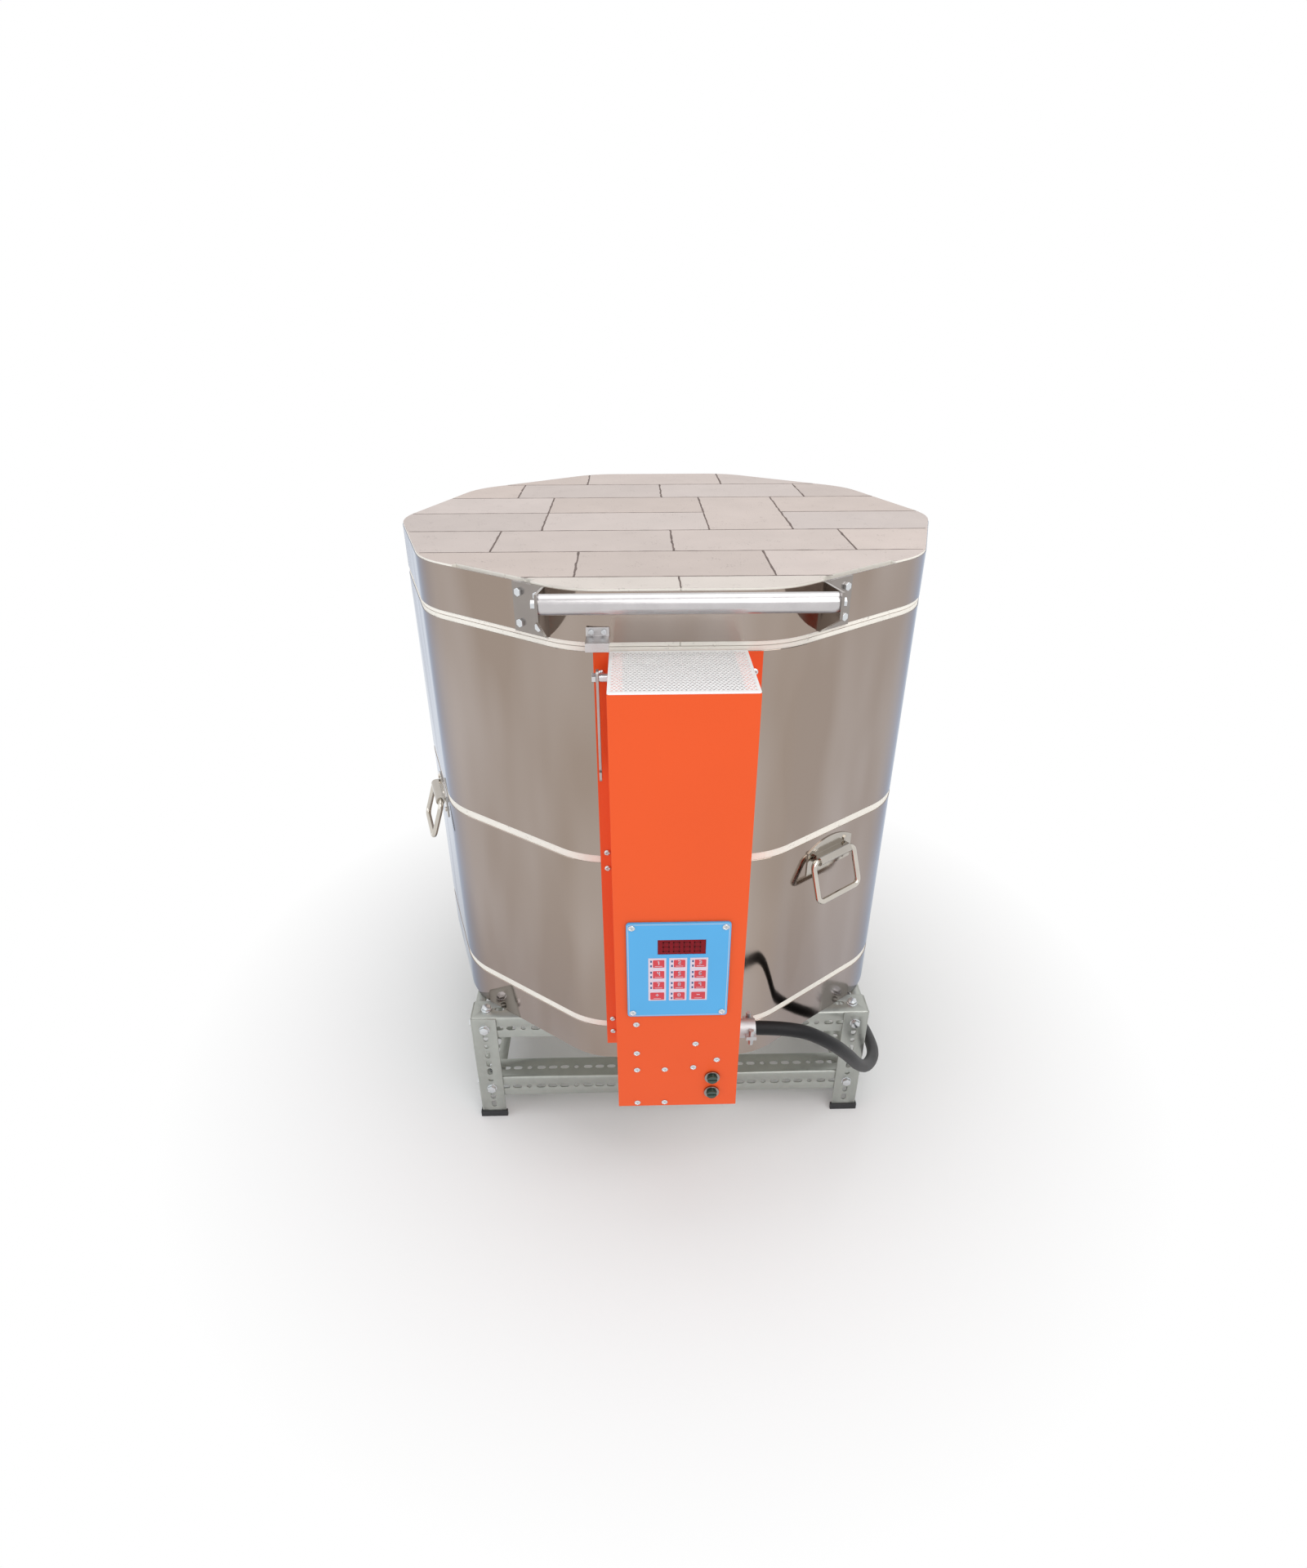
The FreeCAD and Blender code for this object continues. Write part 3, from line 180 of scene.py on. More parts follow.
def basis(origin, x_axis, y_axis, z_axis):
    """The matrix that carries X, Y and Z to three given directions and the zero point to the origin."""
    m = Matrix.Identity(4)
    for column, axis in enumerate((x_axis, y_axis, z_axis)):
        for row in range(3):
            m[row][column] = axis[row]
    for row in range(3):
        m[row][3] = origin[row]
    return m


def front_frame(x, y, z):
    """Local X to the right, local Y up and local Z towards the front."""
    return basis((x, y, z), (1, 0, 0), (0, 0, 1), (0, -1, 0))


def lathe(profile, sides):
    """A profile of (radius, height) turned about Z: x = r cos t, y = r sin t, z = h."""
    profile = np.array(profile, float)
    t = rounds(sides)
    x = profile[:, :1] * np.cos(t)
    y = profile[:, :1] * np.sin(t)
    z = np.repeat(profile[:, 1:], sides, axis=1)
    return grid(np.stack([x, y, z], axis=-1), wrap_v=True)


def capped(verts, faces, count):
    """The faces with a flat end added over the first and the last `count` points."""
    last = len(verts) - count
    return faces + [list(range(count))[::-1], list(range(last, last + count))]


def sweep(path, section):
    """A flat section carried along a path: P(i, j) = path_i + a_j * side_i + b_j * up_i, the pair turned
    no more than the path turns, so that the section doesn't twist."""
    ways = np.gradient(path, axis=0)
    ways /= np.linalg.norm(ways, axis=1, keepdims=True)
    side = np.cross(ways[0], (0.0, 0.0, 1.0))
    sides = np.zeros_like(path)
    for k, way in enumerate(ways):
        side = side - way * np.dot(side, way)
        side = side / np.linalg.norm(side)
        sides[k] = side
    ups = np.cross(sides, ways)
    points = path[:, None] + section[None, :, :1] * sides[:, None] + section[None, :, 1:] * ups[:, None]
    verts, faces = grid(points, wrap_v=True)
    return verts, capped(verts, faces, len(section))


def ring(radius, sides):
    """A circle's points, radius times (cos t, sin t)."""
    return radius * on_circle(rounds(sides))


def rounded_rectangle(wide, high, radius, steps):
    """A rectangle's outline whose corners are quarter circles."""
    t = np.linspace(0, math.pi / 2, steps)
    outline = []
    for sx, sy, quarter in ((1, 1, 0), (-1, 1, 1), (-1, -1, 2), (1, -1, 3)):
        centre = np.array([sx * (wide / 2 - radius), sy * (high / 2 - radius)])
        outline.append(centre + radius * on_circle(t + quarter * math.pi / 2))
    return np.vstack(outline)


def unit(rows):
    """Each row divided by its length."""
    return rows / np.maximum(np.linalg.norm(rows, axis=1, keepdims=True), 1e-12)


def inset(outline, distance):
    """An outline moved inwards along the mean normals of its two sides at each point."""
    before = unit(outline - np.roll(outline, 1, axis=0))
    after = unit(np.roll(outline, -1, axis=0) - outline)
    normal = unit(np.stack([-(before + after)[:, 1], (before + after)[:, 0]], axis=-1))
    inwards = np.stack([-after[:, 1], after[:, 0]], axis=-1)
    widen = 1.0 / np.maximum(np.abs(np.sum(normal * inwards, axis=1)), 0.5)
    return outline + normal * (distance * widen)[:, None]


def slab(outline, thick, edge, both=True):
    """A counter-clockwise outline carried up Z by its thickness, whose rims turn over in a quarter circle."""
    t = np.linspace(0, math.pi / 2, 3)
    if both:
        levels = [(edge * (1 - math.sin(a)), edge * (1 - math.cos(a))) for a in t]
    else:
        levels = [(0.0, 0.0)]
    levels += [(edge * (1 - math.cos(a)), thick - edge * (1 - math.sin(a))) for a in t]
    rings = [raised(inset(outline, inward) if inward > 0 else outline, height) for inward, height in levels]
    verts, faces = grid(np.array(rings), wrap_v=True)
    return verts, capped(verts, [face[::-1] for face in faces], len(outline))


def hexagon(across):
    """A hexagon's outline, `across` between its flats."""
    return across / math.sqrt(3) * on_circle(rounds(6) + math.pi / 6)


def in_scene(name, data):
    """A new object of that name and data, linked to the scene."""
    made = bpy.data.objects.new(name, data)
    bpy.context.scene.collection.objects.link(made)
    return made


def opened(mesh):
    """A mesh opened for editing, its double points welded."""
    work = bmesh.new()
    work.from_mesh(mesh)
    bmesh.ops.remove_doubles(work, verts=work.verts, dist=WELD)
    return work


def shade_mesh(mesh, angle=SMOOTH_ANGLE):
    """Shades a mesh smooth wherever its faces meet at less than the angle."""
    mesh.shade_smooth()
    mesh.set_sharp_from_angle(angle=math.radians(angle))


def piece(name, shape, look, body, replaced=(), weld=True, smooth_angle=SMOOTH_ANGLE):
    """Makes an object from a shape, gives it the finish of that name and lets it ride on a body."""
    mesh = bpy.data.meshes.new(name)
    mesh.from_pydata(shape[0].tolist(), [], shape[1])
    if weld:
        work = opened(mesh)
        bmesh.ops.dissolve_degenerate(work, edges=work.edges, dist=WELD / 10)
        bmesh.ops.recalc_face_normals(work, faces=work.faces)
        work.to_mesh(mesh)
        work.free()
    shade_mesh(mesh, smooth_angle)
    made = in_scene(name, mesh)
    mesh.materials.append(finish(look))
    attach(made, body)
    if replaced:
        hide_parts(*replaced)
    return made


def softened(node, name, look, body, width, segments=2):
    """A welded copy of a CAD node, its flat faces joined again, with a narrow rounding on its sharp edges."""
    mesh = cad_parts[node].data.copy()
    mesh.name = name
    work = opened(mesh)
    bmesh.ops.dissolve_limit(work, angle_limit=math.radians(FLAT_ANGLE), verts=work.verts, edges=work.edges)
    work.to_mesh(mesh)
    work.free()
    mesh.materials.clear()
    mesh.materials.append(finish(look))
    shade_mesh(mesh)
    made = in_scene(name, mesh)
    rounding = made.modifiers.new("edge", "BEVEL")
    rounding.width = width
    rounding.segments = segments
    rounding.limit_method = "ANGLE"
    rounding.angle_limit = math.radians(EDGE_ANGLE)
    rounding.harden_normals = True
    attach(made, body)
    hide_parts(node)
    return made


def dress(node, look):
    """Gives a CAD node that stays the finish of that name."""
    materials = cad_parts[node].data.materials
    materials.clear()
    materials.append(finish(look))


# Shader groups that several finishes share

def new_group(name, inputs, outputs):
    """A shader group with its sockets: each is (name, type, default)."""
    group = bpy.data.node_groups.new(name, "ShaderNodeTree")
    for label, kind, default in inputs:
        socket = group.interface.new_socket(name=label, in_out="INPUT", socket_type=kind)
        if default is not None:
            socket.default_value = default
    for label, kind in outputs:
        group.interface.new_socket(name=label, in_out="OUTPUT", socket_type=kind)
    return group, group.nodes.new("NodeGroupInput"), group.nodes.new("NodeGroupOutput")


def link(tree, source, target):
    """Joins an output to an input."""
    tree.links.new(source, target)


def maths(tree, operation, a, b, clamp=False):
    """The result of an operation on two values or outputs."""
    node = tree.nodes.new("ShaderNodeMath")
    node.operation = operation
    node.use_clamp = clamp
    for socket, value in zip(node.inputs, (a, b)):
        if isinstance(value, (int, float)):
            socket.default_value = value
        else:
            link(tree, value, socket)
    return node.outputs[0]


def noise(tree, vector, scale, detail, roughness=0.55):
    """Smooth noise at a scale, which may be an output."""
    node = tree.nodes.new("ShaderNodeTexNoise")
    node.inputs["Detail"].default_value = detail
    node.inputs["Roughness"].default_value = roughness
    link(tree, vector, node.inputs["Vector"])
    if isinstance(scale, (int, float)):
        node.inputs["Scale"].default_value = scale
    else:
        link(tree, scale, node.inputs["Scale"])
    return node.outputs["Fac"]


def spread(tree, value, low, high, to_low=0.0, to_high=1.0):
    """A value carried from one range to another and held within it."""
    node = tree.nodes.new("ShaderNodeMapRange")
    node.inputs["From Min"].default_value = low
    node.inputs["From Max"].default_value = high
    node.inputs["To Min"].default_value = to_low
    node.inputs["To Max"].default_value = to_high
    link(tree, value, node.inputs["Value"])
    return node.outputs["Result"]


def blend_colours(tree, factor, a, b, mode="MIX"):
    """Two colours or outputs blended by a factor."""
    node = tree.nodes.new("ShaderNodeMix")
    node.data_type = "RGBA"
    node.blend_type = mode
    for socket, value in ((node.inputs[0], factor), (node.inputs[6], a), (node.inputs[7], b)):
        if isinstance(value, (int, float)):
            socket.default_value = value
        elif isinstance(value, (tuple, list)):
            socket.default_value = (*value[:3], 1.0)
        else:
            link(tree, value, socket)
    return node.outputs[2]


def mottle_group():
    """Two colours mixed by broad and fine noise, with the noise as a height."""
    group, start, end = new_group("Mottle", [
        ("Vector", "NodeSocketVector", None), ("Colour A", "NodeSocketColor", (0.5, 0.5, 0.5, 1)),
        ("Colour B", "NodeSocketColor", (0.4, 0.4, 0.4, 1)), ("Broad", "NodeSocketFloat", 12.0),
        ("Fine", "NodeSocketFloat", 400.0)], [("Colour", "NodeSocketColor"), ("Height", "NodeSocketFloat")])
    broad = noise(group, start.outputs["Vector"], start.outputs["Broad"], 2.0)
    fine = noise(group, start.outputs["Vector"], start.outputs["Fine"], 3.0, 0.7)
    both = maths(group, "ADD", maths(group, "MULTIPLY", broad, 0.6), maths(group, "MULTIPLY", fine, 0.4))
    factor = spread(group, both, 0.35, 0.65)
    link(group, blend_colours(group, factor, start.outputs["Colour A"], start.outputs["Colour B"]),
         end.inputs["Colour"])
    link(group, fine, end.inputs["Height"])
    return group


def pore_group():
    """Small pits of dry brick: the dark cells of a Voronoi pattern, thinned by noise, as a height and as a
    mask by which the pits are darkened as painted shade.
    """
    group, start, end = new_group("Pores", [
        ("Vector", "NodeSocketVector", None), ("Scale", "NodeSocketFloat", 260.0)],
        [("Mask", "NodeSocketFloat"), ("Height", "NodeSocketFloat")])
    cells = group.nodes.new("ShaderNodeTexVoronoi")
    link(group, start.outputs["Vector"], cells.inputs["Vector"])
    link(group, start.outputs["Scale"], cells.inputs["Scale"])
    pit = spread(group, cells.outputs["Distance"], 0.10, 0.32, 1.0, 0.0)
    where = spread(group, noise(group, start.outputs["Vector"], 55.0, 2.0), 0.52, 0.66)
    mask = maths(group, "MULTIPLY", pit, where, True)
    link(group, mask, end.inputs["Mask"])
    link(group, maths(group, "SUBTRACT", 1.0, mask), end.inputs["Height"])
    return group


def ripple_group():
    """The slow waves of thin wrapped sheet and its fine rolling grain as a height, and upright streaks as a
    mask for painted reflections in the colour and for changes of gloss.
    """
    group, start, end = new_group("Sheet ripple", [
        ("Vector", "NodeSocketVector", None), ("Wave", "NodeSocketFloat", 5.0),
        ("Grain", "NodeSocketFloat", 900.0)],
        [("Reflection and gloss streak", "NodeSocketFloat"), ("Height", "NodeSocketFloat")])
    stretch = group.nodes.new("ShaderNodeVectorMath")
    stretch.operation = "MULTIPLY"
    stretch.inputs[1].default_value = (1.0, 1.0, 0.22)
    link(group, start.outputs["Vector"], stretch.inputs[0])
    wave = noise(group, stretch.outputs[0], start.outputs["Wave"], 1.0, 0.4)
    link(group, spread(group, noise(group, stretch.outputs[0], 9.0, 2.0), 0.35, 0.65), end.inputs["Reflection and gloss streak"])
    grain = noise(group, start.outputs["Vector"], start.outputs["Grain"], 2.0)
    link(group, maths(group, "ADD", wave, maths(group, "MULTIPLY", grain, 0.004)), end.inputs["Height"])
    return group


GROUPS = {}


def shared(name):
    """The shader group of that name, made once."""
    makers = {"mottle": mottle_group, "pores": pore_group, "ripple": ripple_group}
    if name not in GROUPS:
        GROUPS[name] = makers[name]()
    return GROUPS[name]


class Finish:
    """A material under way: its tree, its Principled shader and the object's own coordinates."""

    def __init__(self, name, base, metallic, roughness, coat=0.0, coat_roughness=0.1):
        self.material = bpy.data.materials.new(name)
        self.material.use_nodes = True
        self.tree = self.material.node_tree
        self.shader = self.tree.nodes["Principled BSDF"]
        self.shader.inputs["Base Color"].default_value = (*base, 1.0)
        self.shader.inputs["Metallic"].default_value = metallic
        self.shader.inputs["Roughness"].default_value = roughness
        self.shader.inputs["Coat Weight"].default_value = coat
        self.shader.inputs["Coat Roughness"].default_value = coat_roughness
        self.where = self.tree.nodes.new("ShaderNodeTexCoord").outputs["Object"]

    def group(self, name, **values):
        """A shared group fed with the object's coordinates and these values."""
        node = self.tree.nodes.new("ShaderNodeGroup")
        node.node_tree = shared(name)
        link(self.tree, self.where, node.inputs["Vector"])
        for label, value in values.items():
            socket = node.inputs[label.replace("_", " ")]
            socket.default_value = (*value, 1.0) if isinstance(value, (tuple, list)) else value
        return node

    def bump(self, height, distance, strength=1.0):
        """Relief from a height."""
        node = self.tree.nodes.new("ShaderNodeBump")
        node.inputs["Distance"].default_value = distance
        node.inputs["Strength"].default_value = strength
        link(self.tree, height, node.inputs["Height"])
        link(self.tree, node.outputs["Normal"], self.shader.inputs["Normal"])

    def colour(self, source):
        """Base colour from an output."""
        link(self.tree, source, self.shader.inputs["Base Color"])

    def roughness(self, source, low, high):
        """Roughness between two values, by an output about one half."""
        link(self.tree, spread(self.tree, source, 0.3, 0.7, low, high), self.shader.inputs["Roughness"])


def shade(base, factor):
    """A colour made lighter or darker."""
    return tuple(min(1.0, c * factor) for c in base)


def mottled(name, base, factor, roughness, broad, fine, depth, metallic=0.0, coat=0.0, specular=0.5):
    """A finish with two tones of one colour and a fine relief: the second tone is the first times the
    factor, broad and fine are the scales of the noise, and depth is the height of the relief in metres."""
    made = Finish(name, base, metallic, roughness, coat)
    made.shader.inputs["Specular IOR Level"].default_value = specular
    tones = made.group("mottle", Colour_A=shade(base, factor), Colour_B=base, Broad=broad, Fine=fine)
    made.colour(tones.outputs["Colour"])
    made.bump(tones.outputs["Height"], depth)
    made.roughness(tones.outputs["Height"], roughness * 0.85, min(1.0, roughness * 1.15))
    return made.material


def brick_finish(name, base, dark, side=None):
    """Dry firebrick, mottled and pitted, its pits darkened as painted shade; `dark` is the factor of its
    second tone. With a side colour, its upright faces take that colour, partly the bare brick's cream and
    partly painted light that makes them lighter than the top, and its level faces are multiplied by each
    brick's own tone."""
    made = Finish(name, base, 0.0, 0.92)
    tree = made.tree
    tones = made.group("mottle", Colour_A=shade(base, dark), Colour_B=base, Broad=14.0, Fine=600.0)
    pores = made.group("pores", Scale=300.0)
    own = tones.outputs["Colour"]
    if side:
        tone = tree.nodes.new("ShaderNodeAttribute")
        tone.attribute_name = "tone"
        own = blend_colours(tree, 1.0, own, tone.outputs["Color"], "MULTIPLY")
        # Painted light: upright faces take the side colour, lighter than the level top; partly the bare
        # brick's cream
        facing = tree.nodes.new("ShaderNodeSeparateXYZ")
        link(tree, tree.nodes.new("ShaderNodeTexCoord").outputs["Normal"], facing.inputs[0])
        level = spread(tree, maths(tree, "ABSOLUTE", facing.outputs["Z"], 0.0), 0.3, 0.6)
        own = blend_colours(tree, level, side, own)
    # Painted shade: the pits are darkened towards 0.45 of the base colour
    factor = maths(tree, "MULTIPLY", pores.outputs["Mask"], 0.45)
    made.colour(blend_colours(tree, factor, own, shade(base, 0.45)))
    grain = maths(tree, "MULTIPLY", tones.outputs["Height"], 0.35)
    made.bump(maths(tree, "ADD", pores.outputs["Height"], grain), 0.0006)
    return made.material


def jacket_finish(base):
    """Bright stainless sheet: a near mirror with slow ripples, and upright streaks of painted reflection,
    darker and warmer or lighter, in its colour.
    """
    made = Finish("bright_jacket", base, 1.0, 0.10)
    # Painted reflection: a pale blue tint on the sheet's reflections stands in for a bluish light mirrored at
    # its edges
    made.shader.inputs["Specular Tint"].default_value = (0.66, 0.76, 0.93, 1.0)
    ripple = made.group("ripple", Wave=4.0, Grain=1200.0)
    # Painted reflection: darker warm streaks and lighter ones in the base colour stand in for the room
    # mirrored in the sheet
    painted_dark_reflection = (base[0] * 0.86, base[1] * 0.80, base[2] * 0.74)
    made.colour(blend_colours(made.tree, ripple.outputs["Reflection and gloss streak"], painted_dark_reflection, shade(base, 1.10)))
    made.roughness(ripple.outputs["Reflection and gloss streak"], 0.06, 0.16)
    made.bump(ripple.outputs["Height"], 0.006, 0.6)
    return made.material


def enamel_finish(base):
    """Powder coat: glossy with a fine orange-peel relief."""
    made = Finish("orange_enamel", base, 0.0, 0.45, 0.06, 0.15)
    made.shader.inputs["Specular IOR Level"].default_value = 0.3
    tones = made.group("mottle", Colour_A=shade(base, 0.96), Colour_B=base, Broad=6.0, Fine=900.0)
    made.colour(tones.outputs["Colour"])
    made.bump(tones.outputs["Height"], 0.00012)
    return made.material


def galvanised_finish(base):
    """Zinc coat: dull metal with a spangle of slightly lighter and darker crystals."""
    made = Finish("galvanised_zinc", base, 0.8, 0.38)
    tree = made.tree
    spangle = tree.nodes.new("ShaderNodeTexVoronoi")
    spangle.inputs["Scale"].default_value = 120.0
    link(tree, made.where, spangle.inputs["Vector"])
    level = spread(tree, spangle.outputs["Color"], 0.0, 1.0, 0.0, 1.0)
    made.colour(blend_colours(tree, level, shade(base, 0.95), shade(base, 1.05)))
    made.roughness(level, 0.36, 0.42)
    tones = made.group("mottle", Broad=30.0, Fine=700.0)
    made.bump(tones.outputs["Height"], 0.00006)
    return made.material


def drawn_metal(name, base, roughness, depth=0.00008):
    """Drawn or plated metal: slight changes of gloss and a trace of relief, of a depth in metres."""
    made = Finish(name, base, 1.0, roughness)
    tones = made.group("mottle", Colour_A=shade(base, 0.9), Colour_B=base, Broad=40.0, Fine=1200.0)
    made.colour(tones.outputs["Colour"])
    made.roughness(tones.outputs["Height"], roughness * 0.8, roughness * 1.3)
    made.bump(tones.outputs["Height"], depth)
    return made.material


FINISHES = {}


def finish(name):
    """The finish of that name, made once from the user's colours."""
    if name in FINISHES:
        return FINISHES[name]
    c = bpy.context.scene.kiln_colours
    makers = {
        "lid_brick": lambda: brick_finish("lid_firebrick", tuple(c.lid_brick), 0.93, tuple(c.ring_brick)),
        "ring_brick": lambda: brick_finish("ring_firebrick", tuple(c.ring_brick), 0.92),
        "cement": lambda: mottled("refractory_cement", tuple(c.cement), 1.7, 0.95, 60.0, 900.0, 0.0005),
        "jacket": lambda: jacket_finish(tuple(c.jacket)),
        "enamel": lambda: enamel_finish(tuple(c.enamel)),
        "galvanised": lambda: galvanised_finish(tuple(c.galvanised)),
        "grille": lambda: mottled("grille_plate", (0.97, 0.97, 0.97), 0.99, 0.42, 30.0, 1200.0, 0.00004,
                                  metallic=0.15),
        "bolt": lambda: drawn_metal("plated_bolt", (0.68, 0.70, 0.72), 0.22),
        "tube": lambda: drawn_metal("handle_tube", (0.60, 0.58, 0.585), 0.20),
        "bracket": lambda: drawn_metal("bracket_steel", (0.32, 0.29, 0.27), 0.12),
        "catch": lambda: drawn_metal("catch_plate", (0.62, 0.60, 0.60), 0.30),
        "plain_steel": lambda: drawn_metal("plain_steel", (0.50, 0.49, 0.48), 0.35),
        "bail": lambda: drawn_metal("bail_rod", (0.62, 0.58, 0.52), 0.05, 0.00002),
        "plate": lambda: drawn_metal("handle_plate", (0.50, 0.465, 0.42), 0.08, 0.00004),
        "brass": lambda: drawn_metal("blade_brass", (0.75, 0.55, 0.26), 0.25),
        "cast": lambda: drawn_metal("clamp_casting", (0.55, 0.56, 0.57), 0.42, 0.0003),
        "cap": lambda: mottled("foot_cap_black", (0.020, 0.020, 0.022), 1.6, 0.6, 40.0, 900.0, 0.0003),
        "panel": lambda: mottled("panel_blue", tuple(c.panel), 0.94, 0.42, 10.0, 1500.0, 0.00006, coat=0.15),
        "panel_rim": lambda: mottled("panel_rim", (0.50, 0.62, 0.80), 0.94, 0.4, 10.0, 1500.0, 0.00006),
        "key": lambda: mottled("key_red", tuple(c.key), 0.9, 0.35, 60.0, 1500.0, 0.00005, coat=0.2),
        "legend": lambda: mottled("legend_lilac", (0.80, 0.70, 0.80), 0.95, 0.5, 60.0, 1500.0, 0.00003),
        "mark": lambda: mottled("mark_blue", (0.03, 0.06, 0.22), 0.9, 0.4, 60.0, 1500.0, 0.00003),
        "display": lambda: mottled("display_filter", tuple(c.display), 0.7, 0.25, 90.0, 1500.0, 0.00002,
                                   specular=0.15),
        "segment": lambda: mottled("unlit_segment", (0.16, 0.008, 0.012), 0.8, 0.2, 90.0, 1500.0, 0.00002,
                                   specular=0.15),
        "fuse_cap": lambda: mottled("fuse_cap_green", (0.006, 0.035, 0.022), 1.4, 0.25, 80.0, 1200.0, 0.00005,
                                    coat=0.4),
        "board": lambda: mottled("board_green", (0.02, 0.13, 0.05), 0.8, 0.4, 60.0, 900.0, 0.0001),
        "black": lambda: mottled("moulded_black", (0.018, 0.018, 0.018), 1.5, 0.5, 60.0, 900.0, 0.0001),
        "iron": lambda: mottled("core_iron", (0.10, 0.10, 0.11), 1.3, 0.6, 60.0, 900.0, 0.0002, metallic=0.6),
        "element": lambda: mottled("oxidised_wire", (0.16, 0.13, 0.115), 1.5, 0.6, 60.0, 1200.0, 0.0001,
                                   metallic=0.5),
        "porcelain": lambda: mottled("porcelain", (0.82, 0.79, 0.72), 0.93, 0.45, 40.0, 900.0, 0.0001),
        "cord": lambda: cord_finish(tuple(c.cord)),
        "tie": lambda: mottled("cord_tie", (0.03, 0.03, 0.032), 1.5, 0.7, 90.0, 1500.0, 0.0002),
    }
    FINISHES[name] = makers[name]()
    return FINISHES[name]


def cord_finish(base):
    """Rubber jacket of a heavy lead, dull with a fine wrapped texture."""
    made = Finish("cord_rubber", base, 0.0, 0.45)
    made.shader.inputs["Specular IOR Level"].default_value = 0.25
    tones = made.group("mottle", Colour_A=shade(base, 1.5), Colour_B=base, Broad=50.0, Fine=700.0)
    made.colour(tones.outputs["Colour"])
    made.bump(tones.outputs["Height"], 0.0004)
    made.roughness(tones.outputs["Height"], 0.36, 0.5)
    return made.material


# Outline of the kiln seen from above

def decagon_outline(inradius, corner, steps):
    """Ten straight flats joined by arcs: centre_k + corner * (cos t, sin t) over each corner's 36 degrees."""
    reach = (inradius - corner) / math.cos(HALF_TURN)
    arcs = []
    for k in range(FACETS):
        middle = -math.pi / 2 + HALF_TURN * (2 * k + 1)
        t = middle + np.linspace(-HALF_TURN, HALF_TURN, steps)
        arcs.append(reach * on_circle(middle) + corner * on_circle(t))
    return np.vstack(arcs)


def inside_decagon(points, inradius, corner):
    """True where a point of the plan lies inside ten flats `inradius` out whose corners are rounded."""
    angles = -math.pi / 2 + 2 * HALF_TURN * np.arange(FACETS)
    flats = np.max(points @ on_circle(angles).T, axis=1) <= inradius
    reach = (inradius - corner) / math.cos(HALF_TURN)
    turn = np.arctan2(points[:, 1], points[:, 0])
    middle = (np.floor((turn + math.pi / 2) / (2 * HALF_TURN)) + 0.5) * 2 * HALF_TURN - math.pi / 2
    from_centre = points - reach * on_circle(middle)
    beyond = np.abs(np.arctan2(from_centre[:, 1], from_centre[:, 0]) - middle)
    beyond = np.minimum(beyond, 2 * math.pi - beyond)
    rounded = (beyond > HALF_TURN) | (np.linalg.norm(from_centre, axis=1) <= corner)
    return flats & rounded


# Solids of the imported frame

def connected(work):
    """The groups of points that edges join, in the order of their first points."""
    seen = set()
    groups = []
    for vert in work.verts:
        if vert in seen:
            continue
        group = [vert]
        seen.add(vert)
        for one in group:
            for edge in one.link_edges:
                other = edge.other_vert(one)
                if other not in seen:
                    seen.add(other)
                    group.append(other)
        groups.append(group)
    return groups


def islands(node):
    """The separate solids of a CAD node, each as its lowest and highest corner."""
    work = opened(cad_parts[node].data)
    clouds = [np.array([one.co[:] for one in group]) for group in connected(work)]
    work.free()
    return [(points.min(axis=0), points.max(axis=0)) for points in clouds]


# Shapes that several groups share

def turned_to(way):
    """The turn that carries +Z to a direction."""
    return Vector((0, 0, 1)).rotation_difference(Vector(way)).to_matrix().to_4x4()


def spun(degrees):
    """The turn about the kiln's upright middle line."""
    return Matrix.Rotation(math.radians(degrees), 4, "Z")


def flat_plate(outline, holes, thick, edge):
    """A flat plate in XY with holes, from Z 0 to its thickness, cut from filled curves with eased edges."""
    curve = bpy.data.curves.new("plate", "CURVE")
    curve.dimensions = "2D"
    curve.fill_mode = "BOTH"
    curve.extrude = thick / 2 - edge
    curve.bevel_depth = edge
    curve.bevel_resolution = 1
    curve.offset = -edge
    for loop in [outline] + holes:
        spline = curve.splines.new("POLY")
        spline.points.add(len(loop) - 1)
        flat = np.zeros((len(loop), 4))
        flat[:, :2] = loop
        flat[:, 3] = 1.0
        spline.points.foreach_set("co", flat.ravel())
        spline.use_cyclic_u = True
    holder = in_scene("plate", curve)
    bpy.context.view_layer.update()
    mesh = bpy.data.meshes.new_from_object(holder.evaluated_get(bpy.context.evaluated_depsgraph_get()))
    points = np.zeros(len(mesh.vertices) * 3)
    mesh.vertices.foreach_get("co", points)
    points = points.reshape(-1, 3)
    points[:, 2] += thick / 2
    faces = [list(face.vertices) for face in mesh.polygons]
    bpy.data.objects.remove(holder)
    bpy.data.curves.remove(curve)
    bpy.data.meshes.remove(mesh)
    return points, faces


def oblong(x, y, half, radius):
    """A slot's outline: two half circles `half` to each side of its middle, joined by straights."""
    t = np.linspace(-math.pi / 2, math.pi / 2, 6)
    right = np.array([half, 0.0]) + radius * on_circle(t)
    return np.vstack([right, -right]) + np.array([x, y])


def pan_head(radius, high):
    """A domed screw head, z = high * (1 - 0.55 * (r / R) ** 3), with a cross-shaped recess that deepens
    inwards."""
    sides = 32
    r = radius * np.linspace(0.02, 1.0, 9)[:, None]
    t = rounds(sides)[None, :]
    x = r * np.cos(t)
    y = r * np.sin(t)
    dome = high * (1 - 0.55 * (r / radius) ** 3) * np.ones_like(t)
    arm = np.minimum(np.abs(x), np.abs(y)) < 0.16 * radius
    reach = np.maximum(np.abs(x), np.abs(y)) < 0.55 * radius
    dome = dome - np.where(arm & reach, 0.6 * high * (1 - r / radius), 0.0)
    top, faces = grid(np.stack([x, y, dome], axis=-1), wrap_v=True)
    skirt = lathe([(radius, high * 0.45), (radius * 1.03, high * 0.25), (radius, 0.0), (radius * 0.5, 0.0)],
                  sides)
    return merge([(top, faces + [list(range(sides))]), skirt])


